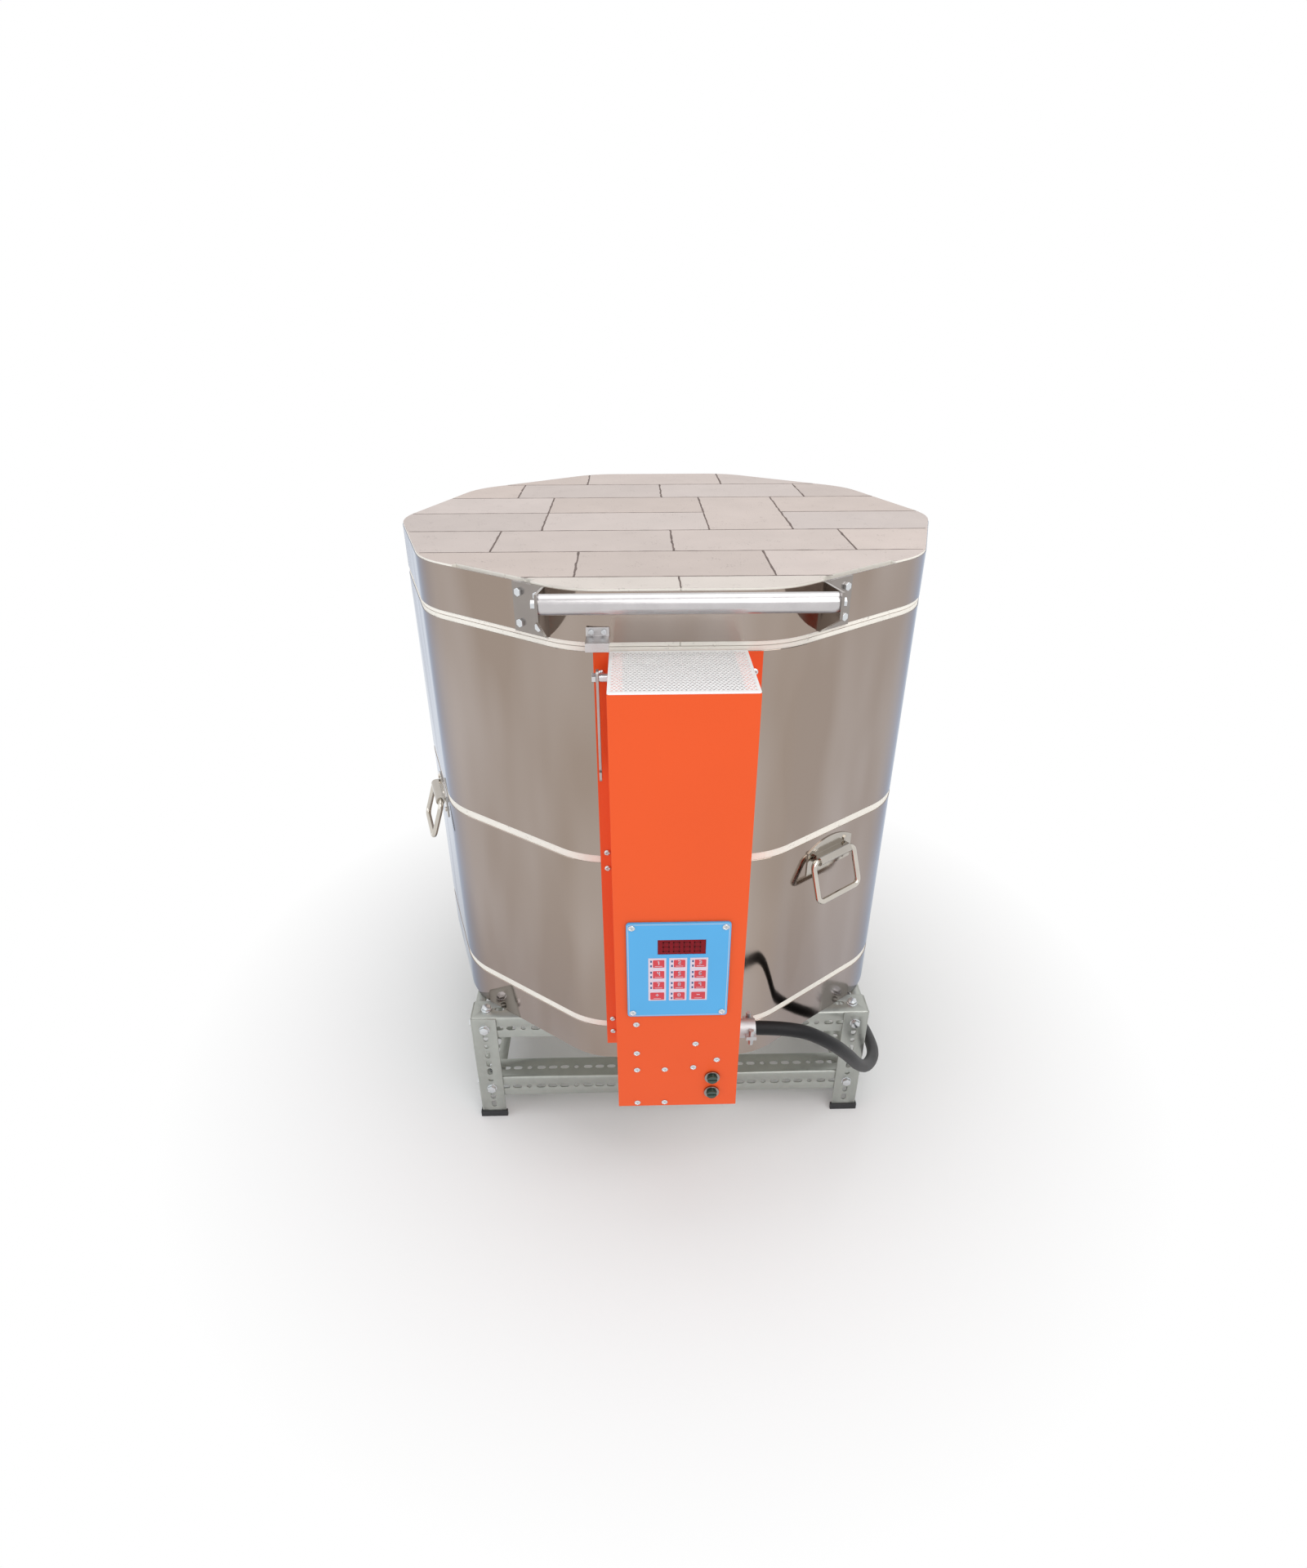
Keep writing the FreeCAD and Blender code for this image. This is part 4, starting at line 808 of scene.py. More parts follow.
def hex_bolt(grip, across, high, washer):
    """A bolt along -Z whose head stands on Z 0: a chamfered head, a washer, and its nut beyond the grip."""
    tip = -grip - high - BOLT_TAIL
    shank = across * 0.26
    thread = [(shank * (1.0 if k % 2 else 0.88), -grip + (tip + grip) * part)
              for k, part in enumerate(np.linspace(0, 1, 12))]
    return merge([
        moved(slab(hexagon(across), high, HEAD_EDGE, both=False), 0, 0, washer),
        lathe([(across * 0.62, 0.0), (across * 0.62, washer * 0.8), (across * 0.60, washer),
               (across * 0.3, washer)], 28),
        lathe([(across * 0.36, washer + high), (across * 0.30, washer + high + CROWN_RIM),
               (0.0001, washer + high + CROWN_TOP)], 24),
        moved(slab(hexagon(across), high, NUT_EDGE), 0, 0, -grip - high),
        lathe([(0.0001, tip)] + thread[::-1], 16)])


def bent_path(corners, bend):
    """Straight runs joined by arcs: centre + bend * (cos t * a + sin t * b) in the plane of each corner."""
    steps = 8
    corners = [Vector(c) for c in corners]
    path = [corners[0]]
    for before, here, after in zip(corners, corners[1:], corners[2:]):
        back = (before - here).normalized()
        ahead = (after - here).normalized()
        half = back.angle(ahead) / 2
        middle = (back + ahead).normalized()
        centre = here + middle * (bend / math.sin(half))
        start = here + back * (bend / math.tan(half)) - centre
        end = here + ahead * (bend / math.tan(half)) - centre
        axis = start.cross(end)
        full = start.angle(end)
        for k in range(steps + 1):
            path.append(centre + Matrix.Rotation(full * k / steps, 3, axis) @ start)
    path.append(corners[-1])
    return np.array([p[:] for p in path])


# Brickwork

# Tones: their range, and the pale one of the bricks that lie wholly in front of the front row's line
DARKEST, LIGHTEST = 0.92, 1.04
WARM_DRIFT = 0.03
FRONT_ROW = -0.30
PALE_TONE = (1.10, 1.15, 1.14, 1.0)

# Joints: what counts as one, and the share of the lid's width that a short one stays under
WIDEST_JOINT = 0.0016
SHORTEST_JOINT = 0.02
SHORT_SHARE = 0.16

# Cement: its steps and waves along a joint, its heights, its ends and its distance from the lid's rim
BRICK_CORNER = 0.11
CEMENT_STEP = 0.003
CEMENT_WAVE = 0.011
CEMENT_STRAY = 0.0006
CEMENT_RISE = 0.00022
CEMENT_SINK = 0.0002
CEMENT_OVERRUN = 0.0004
CEMENT_RIM = 0.002


def add_tones(mesh):
    """Gives each separate brick its own tone in a colour attribute that the brick's finish multiplies by.
    The thin bricks along the front edge are the palest."""
    work = bmesh.new()
    work.from_mesh(mesh)
    layer = work.verts.layers.float_color.new("tone")
    rng = np.random.default_rng(RANDOM_SEED)
    for group in connected(work):
        level = rng.uniform(DARKEST, LIGHTEST)
        drift = rng.uniform(-WARM_DRIFT, WARM_DRIFT)
        tone = (level, level * (1 - drift * 0.5), level * (1 - drift), 1.0)
        if max(one.co.y for one in group) < FRONT_ROW:
            tone = PALE_TONE
        for one in group:
            one[layer] = tone
    work.to_mesh(mesh)
    work.free()


def add_lid_bricks():
    """The lid's bricks with eased edges, each of its own tone."""
    s = sizes()
    made = softened("lid_bricks", "Lid_bricks", "lid_brick", LID, s.brick_edge)
    add_tones(made.data)


def joint_lines():
    """The straight joints on the lid's top as (start, end, is a short joint), found between the bricks."""
    bricks = islands("lid_bricks")
    longest = SHORT_SHARE * (LID_HIGH.x - LID_LOW.x)
    lines = []
    for a0, a1 in bricks:
        for b0, b1 in bricks:
            if 0 <= b0[0] - a1[0] < WIDEST_JOINT:
                low, high = max(a0[1], b0[1]), min(a1[1], b1[1])
                if high - low > SHORTEST_JOINT:
                    x = (a1[0] + b0[0]) / 2
                    lines.append(((x, low), (x, high), high - low < longest))
            if 0 <= b0[1] - a1[1] < WIDEST_JOINT:
                low, high = max(a0[0], b0[0]), min(a1[0], b1[0])
                if high - low > SHORTEST_JOINT:
                    y = (a1[1] + b0[1]) / 2
                    lines.append(((low, y), (high, y), False))
    return lines


def wobble(count, rng, spans):
    """A smooth random line: random knots joined by cosine steps, from -1 to 1."""
    knots = rng.uniform(-1, 1, spans + 1)
    at = np.linspace(0, spans, count)
    low = np.minimum(at.astype(int), spans - 1)
    part = (1 - np.cos(math.pi * (at - low))) / 2
    return knots[low] * (1 - part) + knots[low + 1] * part


def cement_ribbon(start, end, width, rng):
    """A low wavering strip of cement: edges at about +-w(s) / 2 from a line that strays by d(s) from the
    joint, both smooth random lines of the place s along it."""
    start = np.array(start)
    end = np.array(end)
    span = np.linalg.norm(end - start)
    along = (end - start) / span
    across = np.array([-along[1], along[0]])
    count = max(8, int(span / CEMENT_STEP))
    spans = max(3, int(span / CEMENT_WAVE))
    s = np.linspace(-CEMENT_OVERRUN, span + CEMENT_OVERRUN, count)
    stray = CEMENT_STRAY * wobble(count, rng, spans)
    left, right = [
        width * (0.5 + 0.30 * wobble(count, rng, spans) + 0.12 * wobble(count, rng, 3 * spans))
        for _ in range(2)]
    offsets = np.stack([stray - left, stray - 0.5 * left, stray + 0.5 * right, stray + right], axis=-1)
    xy = start + along * s[:, None, None] + across * offsets[:, :, None]
    z = np.full(xy.shape[:2], LID_HIGH.z)
    z[:, 1:3] += CEMENT_RISE
    z[:, [0, 3]] -= CEMENT_SINK
    points = np.concatenate([xy, z[:, :, None]], axis=-1)
    inside = inside_decagon(xy.reshape(-1, 2), BRICK_OUT - CEMENT_RIM, BRICK_CORNER)
    points = points[inside.reshape(count, 4).all(axis=1)]
    return grid(points) if len(points) > 3 else None


def add_cement():
    """Cement in the joints between the lid's bricks: wide and dark across the rows, thin along them."""
    s = sizes()
    rng = np.random.default_rng(RANDOM_SEED + 1)
    ribbons = []
    for start, end, short in joint_lines():
        ribbon = cement_ribbon(start, end, s.cross_joint if short else s.long_joint, rng)
        if ribbon:
            ribbons.append(ribbon)
    piece("Lid_cement", merge(ribbons), "cement", LID, weld=False)


# Steel bands round the brick

# The sheet, the bare strip at a seam, the splits of a flat, and the opening behind the control box
SHEET = 0.0009
SHEET_CORNER = 0.1109
SEAM_REVEAL = 0.0015
LEAST_FLAT = 0.03
FLAT_SPLITS = 10
FIRST_LEVEL = 0.01
WINDOW_HALF = 0.045
WINDOW_MARGIN = 0.02


def band_shape(z0, z1):
    """A closed sheet: the ten-sided outline at the skin, carried up, back down on the brick's side."""
    corners = decagon_outline(SKIN, SHEET_CORNER, 15)
    outer = []
    for here, there in zip(corners, np.roll(corners, -1, axis=0)):
        splits = FLAT_SPLITS if np.linalg.norm(there - here) > LEAST_FLAT else 1
        outer += [here + (there - here) * k / splits for k in range(splits)]
    outer = np.array(outer)
    edge = SHEET * 0.4
    levels = np.linspace(z0 + FIRST_LEVEL, z1 - FIRST_LEVEL, 5)
    heights = np.concatenate([[z0, z0 + edge], levels, [z1 - edge, z1]])
    depth = np.zeros(len(heights))
    depth[[0, -1]] = edge
    inner = inset(outer, SHEET)
    rings = [raised(inset(outer, d) if d else outer, z) for d, z in zip(depth, heights)]
    rings += [raised(inner, z1), raised(inner, z0)]
    return grid(np.array(rings), wrap_u=True, wrap_v=True)


def open_window(shape, low, high):
    """Leaves out the faces of a band that lie in the opening behind the control box."""
    points, faces = shape
    kept = []
    for face in faces:
        x, y, z = points[face].mean(axis=0)
        hole = abs(x) < WINDOW_HALF and y < 0 and low + WINDOW_MARGIN < z < high - WINDOW_MARGIN
        if not hole:
            kept.append(face)
    return points, kept


def add_bands():
    """The bright wraps: floor band, lower and upper jacket, and the lid's band."""
    names = {"floor_band": ("Floor_band", KILN), "lower_jacket": ("Lower_jacket", KILN),
             "upper_jacket": ("Upper_jacket", KILN), "lid_band": ("Lid_band", LID)}
    for node, (name, body) in names.items():
        low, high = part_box(node)
        shape = band_shape(low.z + (0.0 if node == "floor_band" else SEAM_REVEAL),
                           high.z - (0.0 if node == "lid_band" else SEAM_REVEAL))
        if node in ("lower_jacket", "upper_jacket"):
            shape = open_window(shape, low.z, high.z)
        piece(name, shape, "jacket", body, (node,), smooth_angle=30.0)


# Stand

# The slotted angle, its first hole from an end, and the half length that makes a hole round
ANGLE_THICK = 0.002
ANGLE_WIDE = 0.040
ANGLE_MIDDLE = (ANGLE_WIDE + ANGLE_THICK) / 2
ANGLE_EDGE = 0.00025
FLANGE_CORNER = 0.0008
HEEL_GAP = 0.0002
FIRST_HOLE = 0.022
ROUND_HALF = 0.00001

# The bolts: their hexagons, what stands past the nut, rounded edges and the low crown of a head
BOLT_ACROSS = 0.013
BOLT_HEAD = 0.0044
BOLT_WASHER = 0.0009
BOLT_TAIL = 0.0035
HEAD_EDGE = 0.0009
NUT_EDGE = 0.0007
CROWN_RIM = 0.0003
CROWN_TOP = 0.0004


def bar_flange(long, heel, places):
    """One flange, along X from 0 and along Y from the heel, with slots and every fourth hole round."""
    s = sizes()
    outline = rounded_rectangle(long, ANGLE_WIDE - heel, FLANGE_CORNER, 3)
    outline = outline + np.array([long / 2, (ANGLE_WIDE + heel) / 2])
    holes = []
    for k, x in enumerate(places):
        half = ROUND_HALF if k % 4 == 3 else s.slot_half
        holes.append(oblong(x, ANGLE_MIDDLE, half, s.slot_radius)[::-1])
    return flat_plate(outline, holes, ANGLE_THICK, ANGLE_EDGE)


def angle_bar(long, places):
    """Slotted angle along X: one flange down, one back, joined by a quarter turn at the heel."""
    heel = sizes().heel_radius
    flange = bar_flange(long, heel, places)
    down = basis((0, 0, 0), (1, 0, 0), (0, 0, -1), (0, 1, 0))
    back = basis((0, 0, -ANGLE_THICK), (1, 0, 0), (0, 1, 0), (0, 0, 1))
    t = np.linspace(0, math.pi / 2, 7)
    bore = heel - ANGLE_THICK
    outer = heel * np.stack([1 - np.sin(t), -(1 - np.cos(t))], axis=-1)
    inner = np.stack([heel - bore * np.sin(t), -heel + bore * np.cos(t)], axis=-1)
    loop = np.vstack([outer, inner[::-1]])
    count = len(loop)
    points = np.zeros((2, count, 3))
    points[:, :, 0] = np.array([HEEL_GAP, long - HEEL_GAP])[:, None]
    points[:, :, 1:] = loop
    verts, faces = grid(points, wrap_v=True)
    for k in range(len(t) - 1):
        end = [k, k + 1, count - 2 - k, count - 1 - k]
        faces += [end, [count + corner for corner in end]]
    return merge([placed(flange, down), placed(flange, back), (verts, faces)])


def bar_places(first, last, before=0):
    """Hole places from the first to the last at about the slots' pitch, and some more before the first."""
    spaces = max(1, round((last - first) / sizes().slot_pitch))
    step = (last - first) / spaces
    return [first + step * k for k in range(-before, spaces + 1)]


def rail_frame(x, y, top):
    """Four rails between the legs, whose outer corners are at x and y: two across, two along within them."""
    across = 2 * (x - ANGLE_THICK)
    along = 2 * (y - 2 * ANGLE_THICK)
    front = angle_bar(across, bar_places(FIRST_HOLE, across - FIRST_HOLE))
    side = angle_bar(along, bar_places(FIRST_HOLE, along - FIRST_HOLE))
    front_place = Matrix.Translation((-across / 2, -y + ANGLE_THICK, top))
    side_place = Matrix.Translation((-along / 2, -x + ANGLE_THICK, top - ANGLE_THICK))
    bars = []
    for degrees in (0, 180):
        bars.append(placed(front, spun(degrees) @ front_place))
        bars.append(placed(side, spun(degrees + 90) @ side_place))
    return merge(bars)


def corner_matrices():
    """Mirror matrices that carry the front left corner of the stand to all four."""
    return [Matrix.Diagonal((sx, sy, 1, 1)) for sx in (1, -1) for sy in (1, -1)]


def add_stand():
    """Legs and rails of slotted angle, bolts with washers, and the black foot caps."""
    leg_low, leg_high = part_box("stand_legs")
    top_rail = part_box("stand_top_rails")[1].z
    low_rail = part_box("stand_low_rails")[1].z
    x, y = -leg_low.x, -leg_low.y
    low_bolt = low_rail - ANGLE_MIDDLE
    top_bolt = leg_high.z - ANGLE_MIDDLE
    places = bar_places(low_bolt - leg_low.z, top_bolt - leg_low.z, before=2)
    leg = angle_bar(leg_high.z - leg_low.z, places)
    foot = basis((-x, -y, leg_low.z), (0, 0, 1), (0, 1, 0), (-1, 0, 0))
    piece("Stand_legs", merge([placed(leg, m @ foot) for m in corner_matrices()]), "galvanised", KILN,
          ("stand_legs",))
    for node, name, top in (("stand_top_rails", "Top_rails", top_rail),
                            ("stand_low_rails", "Low_rails", low_rail)):
        piece(name, rail_frame(x, y, top), "galvanised", KILN, (node,))
    inside = ANGLE_THICK + ANGLE_MIDDLE
    places = []
    for z in (top_bolt, low_bolt):
        places.append(((-x + ANGLE_MIDDLE, -y, z), (0, -1, 0)))
        places.append(((-x, -y + ANGLE_MIDDLE, z - ANGLE_THICK), (-1, 0, 0)))
    for z in (leg_high.z, low_rail):
        places.append(((-x + inside, -y + inside, z), (0, 0, 1)))
    bolt = hex_bolt(2 * ANGLE_THICK, BOLT_ACROSS, BOLT_HEAD, BOLT_WASHER)
    bolts = []
    for place, way in places:
        one = placed(bolt, Matrix.Translation(place) @ turned_to(way))
        bolts += [placed(one, m) for m in corner_matrices()]
    piece("Stand_bolts", merge(bolts), "bolt", KILN, ("stand_bolts",))
    softened("foot_caps", "Foot_caps", "cap", KILN, 0.0008)


# Control box

def add_box():
    """The orange cover and back plate with eased edges, and the pan-head screws."""
    softened("box_cover", "Box_cover", "enamel", KILN, 0.0009)
    softened("box_back_plate", "Box_back_plate", "enamel", KILN, 0.0005)
    heads = []
    for low, high in islands("box_screws"):
        centre = Vector((low + high) / 2)
        thin = int(np.argmin(high - low))
        deep, wide, _ = sorted(float(size) for size in high - low)
        way = Vector((0, 0, 0))
        way[thin] = 1.0 if centre[thin] > 0 else -1.0
        foot = Matrix.Translation(centre - way * deep / 2)
        heads.append(placed(pan_head(wide / 2, deep), foot @ turned_to(way)))
    piece("Box_screws", merge(heads), "bolt", KILN, ("box_screws",))


# The plain border, the corners, the play in the cover's opening and the eased edges
GRILLE_BORDER = 0.004
GRILLE_CORNER = 0.002
GRILLE_PLAY = 0.0004
GRILLE_EDGE = 0.0001


def add_grille():
    """The perforated top of the box: staggered rows of small round holes in a plain border."""
    s = sizes()
    low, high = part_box("top_grille")
    wide = high.x - low.x - GRILLE_PLAY
    deep = high.y - low.y - GRILLE_PLAY
    outline = rounded_rectangle(wide, deep, GRILLE_CORNER, 3)
    circle = ring(s.grille_hole, 8)[::-1]
    pitch = s.grille_pitch
    row = pitch * math.sqrt(3) / 2
    rows = int((deep / 2 - GRILLE_BORDER) / row)
    holes = []
    for r in range(-rows, rows + 1):
        shift = pitch / 2 if r % 2 else 0.0
        count = int((wide / 2 - GRILLE_BORDER - shift) / pitch)
        for k in range(-count - (1 if shift else 0), count + 1):
            holes.append(circle + np.array([k * pitch + shift, r * row]))
    shape = flat_plate(outline, holes, high.z - low.z, GRILLE_EDGE)
    shape = moved(shape, (low.x + high.x) / 2, (low.y + high.y) / 2, low.z)
    piece("Perforated_top", shape, "grille", KILN, ("top_grille",))


# Controller

# Signs as strokes on a field one wide and two high
STROKES = {
    "0": [[(0, 0), (0, 2), (1, 2), (1, 0), (0, 0)]],
    "1": [[(0.2, 1.6), (0.6, 2), (0.6, 0)]],
    "2": [[(0, 2), (1, 2), (1, 1), (0, 1), (0, 0), (1, 0)]],
    "3": [[(0, 2), (1, 2), (1, 0), (0, 0)], [(0.2, 1), (1, 1)]],
    "4": [[(0, 2), (0, 1), (1, 1)], [(1, 2), (1, 0)]],
    "5": [[(1, 2), (0, 2), (0, 1), (1, 1), (1, 0), (0, 0)]],
    "6": [[(1, 2), (0, 2), (0, 0), (1, 0), (1, 1), (0, 1)]],
    "7": [[(0, 2), (1, 2), (0.4, 0)]],
    "8": [[(0, 0), (0, 2), (1, 2), (1, 0), (0, 0)], [(0, 1), (1, 1)]],
    "9": [[(1, 0), (1, 2), (0, 2), (0, 1), (1, 1)]],
    "+": [[(0.5, 0.4), (0.5, 1.6)], [(-0.1, 1), (1.1, 1)]],
    "-": [[(-0.1, 1), (1.1, 1)]],
}
KEY_SIGNS = "123456789+0-"
PLAIN_KEYS = (10, 12)

# Keys: the rim round the red field, the field, the sign with the bar below it, and the marks beside it
KEY_RIM = 0.0010
KEY_CORNER = 0.0009
FIELD_THICK = 0.00018
FIELD_EDGE = 0.00008
SIGN_OUT = 0.00024
SIGN_WEIGHT = 0.0010
KEY_BAR = (0.0090, 0.0006)
MARK_ROOM = 0.0042
MARK_WIDE = 0.0020
MARK_OUT = 0.0001

# Panel: the pale ground behind the keys, the line near the edge, the digits and the screws
COLUMN_MARGIN = 0.0012
BORDER_INSET = 0.0015
BORDER_CORNER = 0.003
BORDER_WIDE = 0.0009
PRINT_OUT = 0.00008
DIGIT_WEIGHT = 0.0014
DIGIT_REACH = 0.0185
DIGIT_OUT = 0.0002
SCREW_INSET = 0.0065
SCREW_RADIUS = 0.0034
SCREW_HIGH = 0.0015


def strokes(sign, high, weight):
    """A sign drawn with flat bars: each stroke is widened to both sides of its line."""
    scale = high / 2
    shapes = []
    for line in STROKES[sign]:
        for (x0, y0), (x1, y1) in zip(line, line[1:]):
            a = np.array([(x0 - 0.5) * scale, (y0 - 1) * scale])
            b = np.array([(x1 - 0.5) * scale, (y1 - 1) * scale])
            way = (b - a) / np.linalg.norm(b - a)
            side = np.array([-way[1], way[0]]) * weight / 2
            a = a - way * weight / 2
            b = b + way * weight / 2
            shapes.append((raised([a - side, b - side, b + side, a + side], 0.0), [[0, 1, 2, 3]]))
    return merge(shapes)


def flat_bar(wide, high):
    """A flat rectangle about the zero point, facing +Z."""
    x, y = wide / 2, high / 2
    return np.array([(-x, -y, 0.0), (x, -y, 0.0), (x, y, 0.0), (-x, y, 0.0)]), [[0, 1, 2, 3]]


def front_of(node):
    """The width, the height and the place of a node's front face, its middle as zero point and Z outwards."""
    low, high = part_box(node)
    place = front_frame((low.x + high.x) / 2, low.y, (low.z + high.z) / 2)
    return high.x - low.x, high.z - low.z, place


def add_key(number, sign):
    """A pale cap with a red field and a sign on it; ten of the keys have two dark marks beside the field."""
    node = "key_%d" % number
    name = "Key_%d_" % number
    wide, tall, place = front_of(node)
    softened(node, name + "cap", "legend", node, 0.0003)
    marked = number not in PLAIN_KEYS
    margin = MARK_ROOM if marked else KEY_RIM
    outline = rounded_rectangle(wide - margin - KEY_RIM, tall - 2 * KEY_RIM, KEY_CORNER, 4)
    centre = place @ Matrix.Translation(((margin - KEY_RIM) / 2, 0, 0))
    field = slab(outline, FIELD_THICK, FIELD_EDGE, both=False)
    piece(name + "field", placed(field, centre), "key", node)
    drawn = moved(strokes(sign, tall * 0.36, SIGN_WEIGHT), 0, tall * 0.13, SIGN_OUT)
    bar = moved(flat_bar(*KEY_BAR), 0, -tall * 0.28, SIGN_OUT)
    piece(name + "sign", placed(merge([drawn, bar]), centre), "legend", node, weld=False)
    if marked:
        x = (MARK_ROOM - wide) / 2
        marks = [moved(flat_bar(MARK_WIDE, tall * 0.24), x, tall * shift, MARK_OUT)
                 for shift in (0.26, -0.26)]
        piece(name + "marks", placed(merge(marks), place), "mark", node, weld=False)


def add_keys():
    """The twelve keys, each with its own sign."""
    for number, sign in enumerate(KEY_SIGNS, 1):
        add_key(number, sign)


def key_column(first):
    """The pale ground behind the four keys of a column, whose topmost key has this number."""
    top_low, top_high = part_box("key_%d" % first)
    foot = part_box("key_%d" % (first + 9))[0]
    bar = flat_bar(top_high.x - top_low.x + 2 * COLUMN_MARGIN, top_high.z - foot.z + 2 * COLUMN_MARGIN)
    return placed(bar, front_frame((top_low.x + top_high.x) / 2, PANEL_LOW.y - PRINT_OUT,
                                   (top_high.z + foot.z) / 2))


def add_panel():
    """The controller's blue plate with a pale line round it, and the dark display with unlit digits."""
    softened("controller_plate", "Controller_plate", "panel", KILN, 0.0006)
    wide, tall, place = front_of("controller_plate")
    outer = rounded_rectangle(wide - 2 * BORDER_INSET, tall - 2 * BORDER_INSET, BORDER_CORNER, 5)
    rings = np.array([raised(line, PRINT_OUT) for line in (outer, inset(outer, BORDER_WIDE))])
    piece("Panel_border", placed(grid(rings, wrap_v=True), place), "panel_rim", KILN,
          weld=False)
    piece("Key_columns", merge([key_column(first) for first in (1, 2, 3)]), "legend", KILN,
          weld=False)
    softened("display_window", "Display_window", "display", KILN, 0.0003)
    _, tall, place = front_of("display_window")
    digit = strokes("8", tall * 0.62, DIGIT_WEIGHT)
    digits = merge([moved(digit, x, 0, DIGIT_OUT) for x in np.linspace(-DIGIT_REACH, DIGIT_REACH, 4)])
    piece("Display_digits", placed(digits, place), "segment", KILN, weld=False)
    head = pan_head(SCREW_RADIUS, SCREW_HIGH)
    heads = [placed(head, front_frame(x, PANEL_LOW.y, z))
             for x in (PANEL_LOW.x + SCREW_INSET, PANEL_HIGH.x - SCREW_INSET)
             for z in (PANEL_LOW.z + SCREW_INSET, PANEL_HIGH.z - SCREW_INSET)]
    piece("Panel_screws", merge(heads), "bolt", KILN)


def add_fuses():
    """The metal rings of the fuse holders, and the slotted caps."""
    softened("fuse_holders", "Fuse_holders", "bracket", KILN, 0.0004)
    for node, name in (("upper_fuse_cap", "Upper_fuse_slot_cap"), ("lower_fuse_cap", "Lower_fuse_slot_cap")):
        softened(node, name, "fuse_cap", node, 0.0006, 3)


# Lid furniture, hinge and lifting handles

# Node, name, finish, body, slot and rounding of each piece
LID_FURNITURE = (
    ("lid_handle_tube", "Handle_tube", "tube", LID, "handle_steel", 0.0004),
    ("lid_handle_brackets", "Handle_brackets", "bracket", LID, "handle_steel", 0.0005),
    ("lid_handle_bolts", "Handle_bolts", "bolt", LID, "bolt_steel", 0.0005),
    ("lid_catch", "Prop_catch", "catch", LID, "handle_steel", 0.0004),
    ("prop_arm", "Prop_arm", "plain_steel", "prop", "prop_steel", 0.0006),
    ("prop_pivot", "Prop_pivot", "bolt", KILN, "prop_steel", 0.0005),
    ("hinge_body_leaf", "Hinge_body_leaf", "plain_steel", KILN, "hinge_steel", 0.0004),
    ("hinge_lid_leaf", "Hinge_lid_leaf", "plain_steel", LID, "hinge_steel", 0.0004),
    ("hinge_pin", "Hinge_pin", "bolt", KILN, "hinge_steel", 0.0004),
)

# A bail: its rod, the loop from pivot to grip, and how it hangs off the jacket
BAIL_ROD = 0.004
BAIL_HALF = 0.044 - BAIL_ROD
BAIL_BEND = 0.009
BAIL_GAP_HALF = 0.016
BAIL_DROP = 0.058
BAIL_OUT = 0.0085
BAIL_LEAN = 18.0


def add_lid_furniture():
    """Handle tube, brackets and bolts, catch, prop and hinge, with eased edges."""
    for node, name, look, body, slot, edge in LID_FURNITURE:
        softened(node, name, look, body, edge)


def bail_shape():
    """One bail on the front facet: the rod's loop with round bends, leaning about its pivot."""
    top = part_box("bail_front_right")[1].z - BAIL_ROD
    half = [(BAIL_GAP_HALF, 0, 0), (BAIL_HALF, 0, 0), (BAIL_HALF, 0, -BAIL_DROP)]
    path = bent_path([(-x, y, z) for x, y, z in half] + half[::-1], BAIL_BEND)
    shape = sweep(path, ring(BAIL_ROD, 18))
    lean = Matrix.Rotation(math.radians(-BAIL_LEAN), 4, "X")
    return placed(shape, Matrix.Translation((0, -SKIN - BAIL_OUT, top)) @ lean)


def add_bails():
    """Four bright rod loops and the pressed plates with rolled barrels that carry them."""
    softened("lifting_handle_plates", "Lifting_handle_plates", "plate", KILN, 0.0005)
    shape = bail_shape()
    for name, angle in BAIL_FACETS.items():
        node = "bail_" + name
        piece("Bail_rod_" + name, placed(shape, spun(angle + 90.0)), "bail", node, (node,))


# Heating elements

# Outer radius of a wound coil, the gap at the terminals and the straight steps in a turn
COIL_OUTSIDE = 0.0055
TERMINAL_GAP = 0.044
STEPS_PER_TURN = 8


def element_path(level):
    """The line of one element: straights round the chamber, from one side of the terminals to the other."""
    reach = -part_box("heating_elements")[0].y - COIL_OUTSIDE
    corner = reach / math.cos(HALF_TURN)
    corners = [(TERMINAL_GAP / 2, -reach)]
    for k in range(FACETS):
        turn = -math.pi / 2 + HALF_TURN * (2 * k + 1)
        corners.append((corner * math.cos(turn), corner * math.sin(turn)))
    corners.append((-TERMINAL_GAP / 2, -reach))
    return [np.array([x, y, level]) for x, y in corners]


def coil_shape(level):
    """A helix wound along the element's line: P(t) = line(t) + R * (cos wt * n + sin wt * up)."""
    s = sizes()
    corners = element_path(level)
    radius = COIL_OUTSIDE - s.wire_radius
    up = np.array([0.0, 0.0, 1.0])
    points = []
    turn = 0.0
    for a, b in zip(corners, corners[1:]):
        span = np.linalg.norm(b - a)
        way = (b - a) / span
        normal = np.array([way[1], -way[0], 0.0])
        count = max(2, int(span / s.coil_pitch * STEPS_PER_TURN))
        t = np.arange(count) / STEPS_PER_TURN
        phase = 2 * math.pi * (t + turn)
        line = a + way * (t * s.coil_pitch)[:, None]
        points.append(line + radius * (np.cos(phase)[:, None] * normal + np.sin(phase)[:, None] * up))
        turn += count / STEPS_PER_TURN
    return sweep(np.vstack(points), ring(s.wire_radius, 5))


def add_elements():
    """Six wound elements in the grooves of the two rings."""
    levels = [float((low[2] + high[2]) / 2) for low, high in islands("heating_elements")]
    made = [piece("Element_%d" % k, coil_shape(level), "element", KILN, weld=False)
            for k, level in enumerate(sorted(levels), 1)]
    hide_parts("heating_elements")


# Power cord

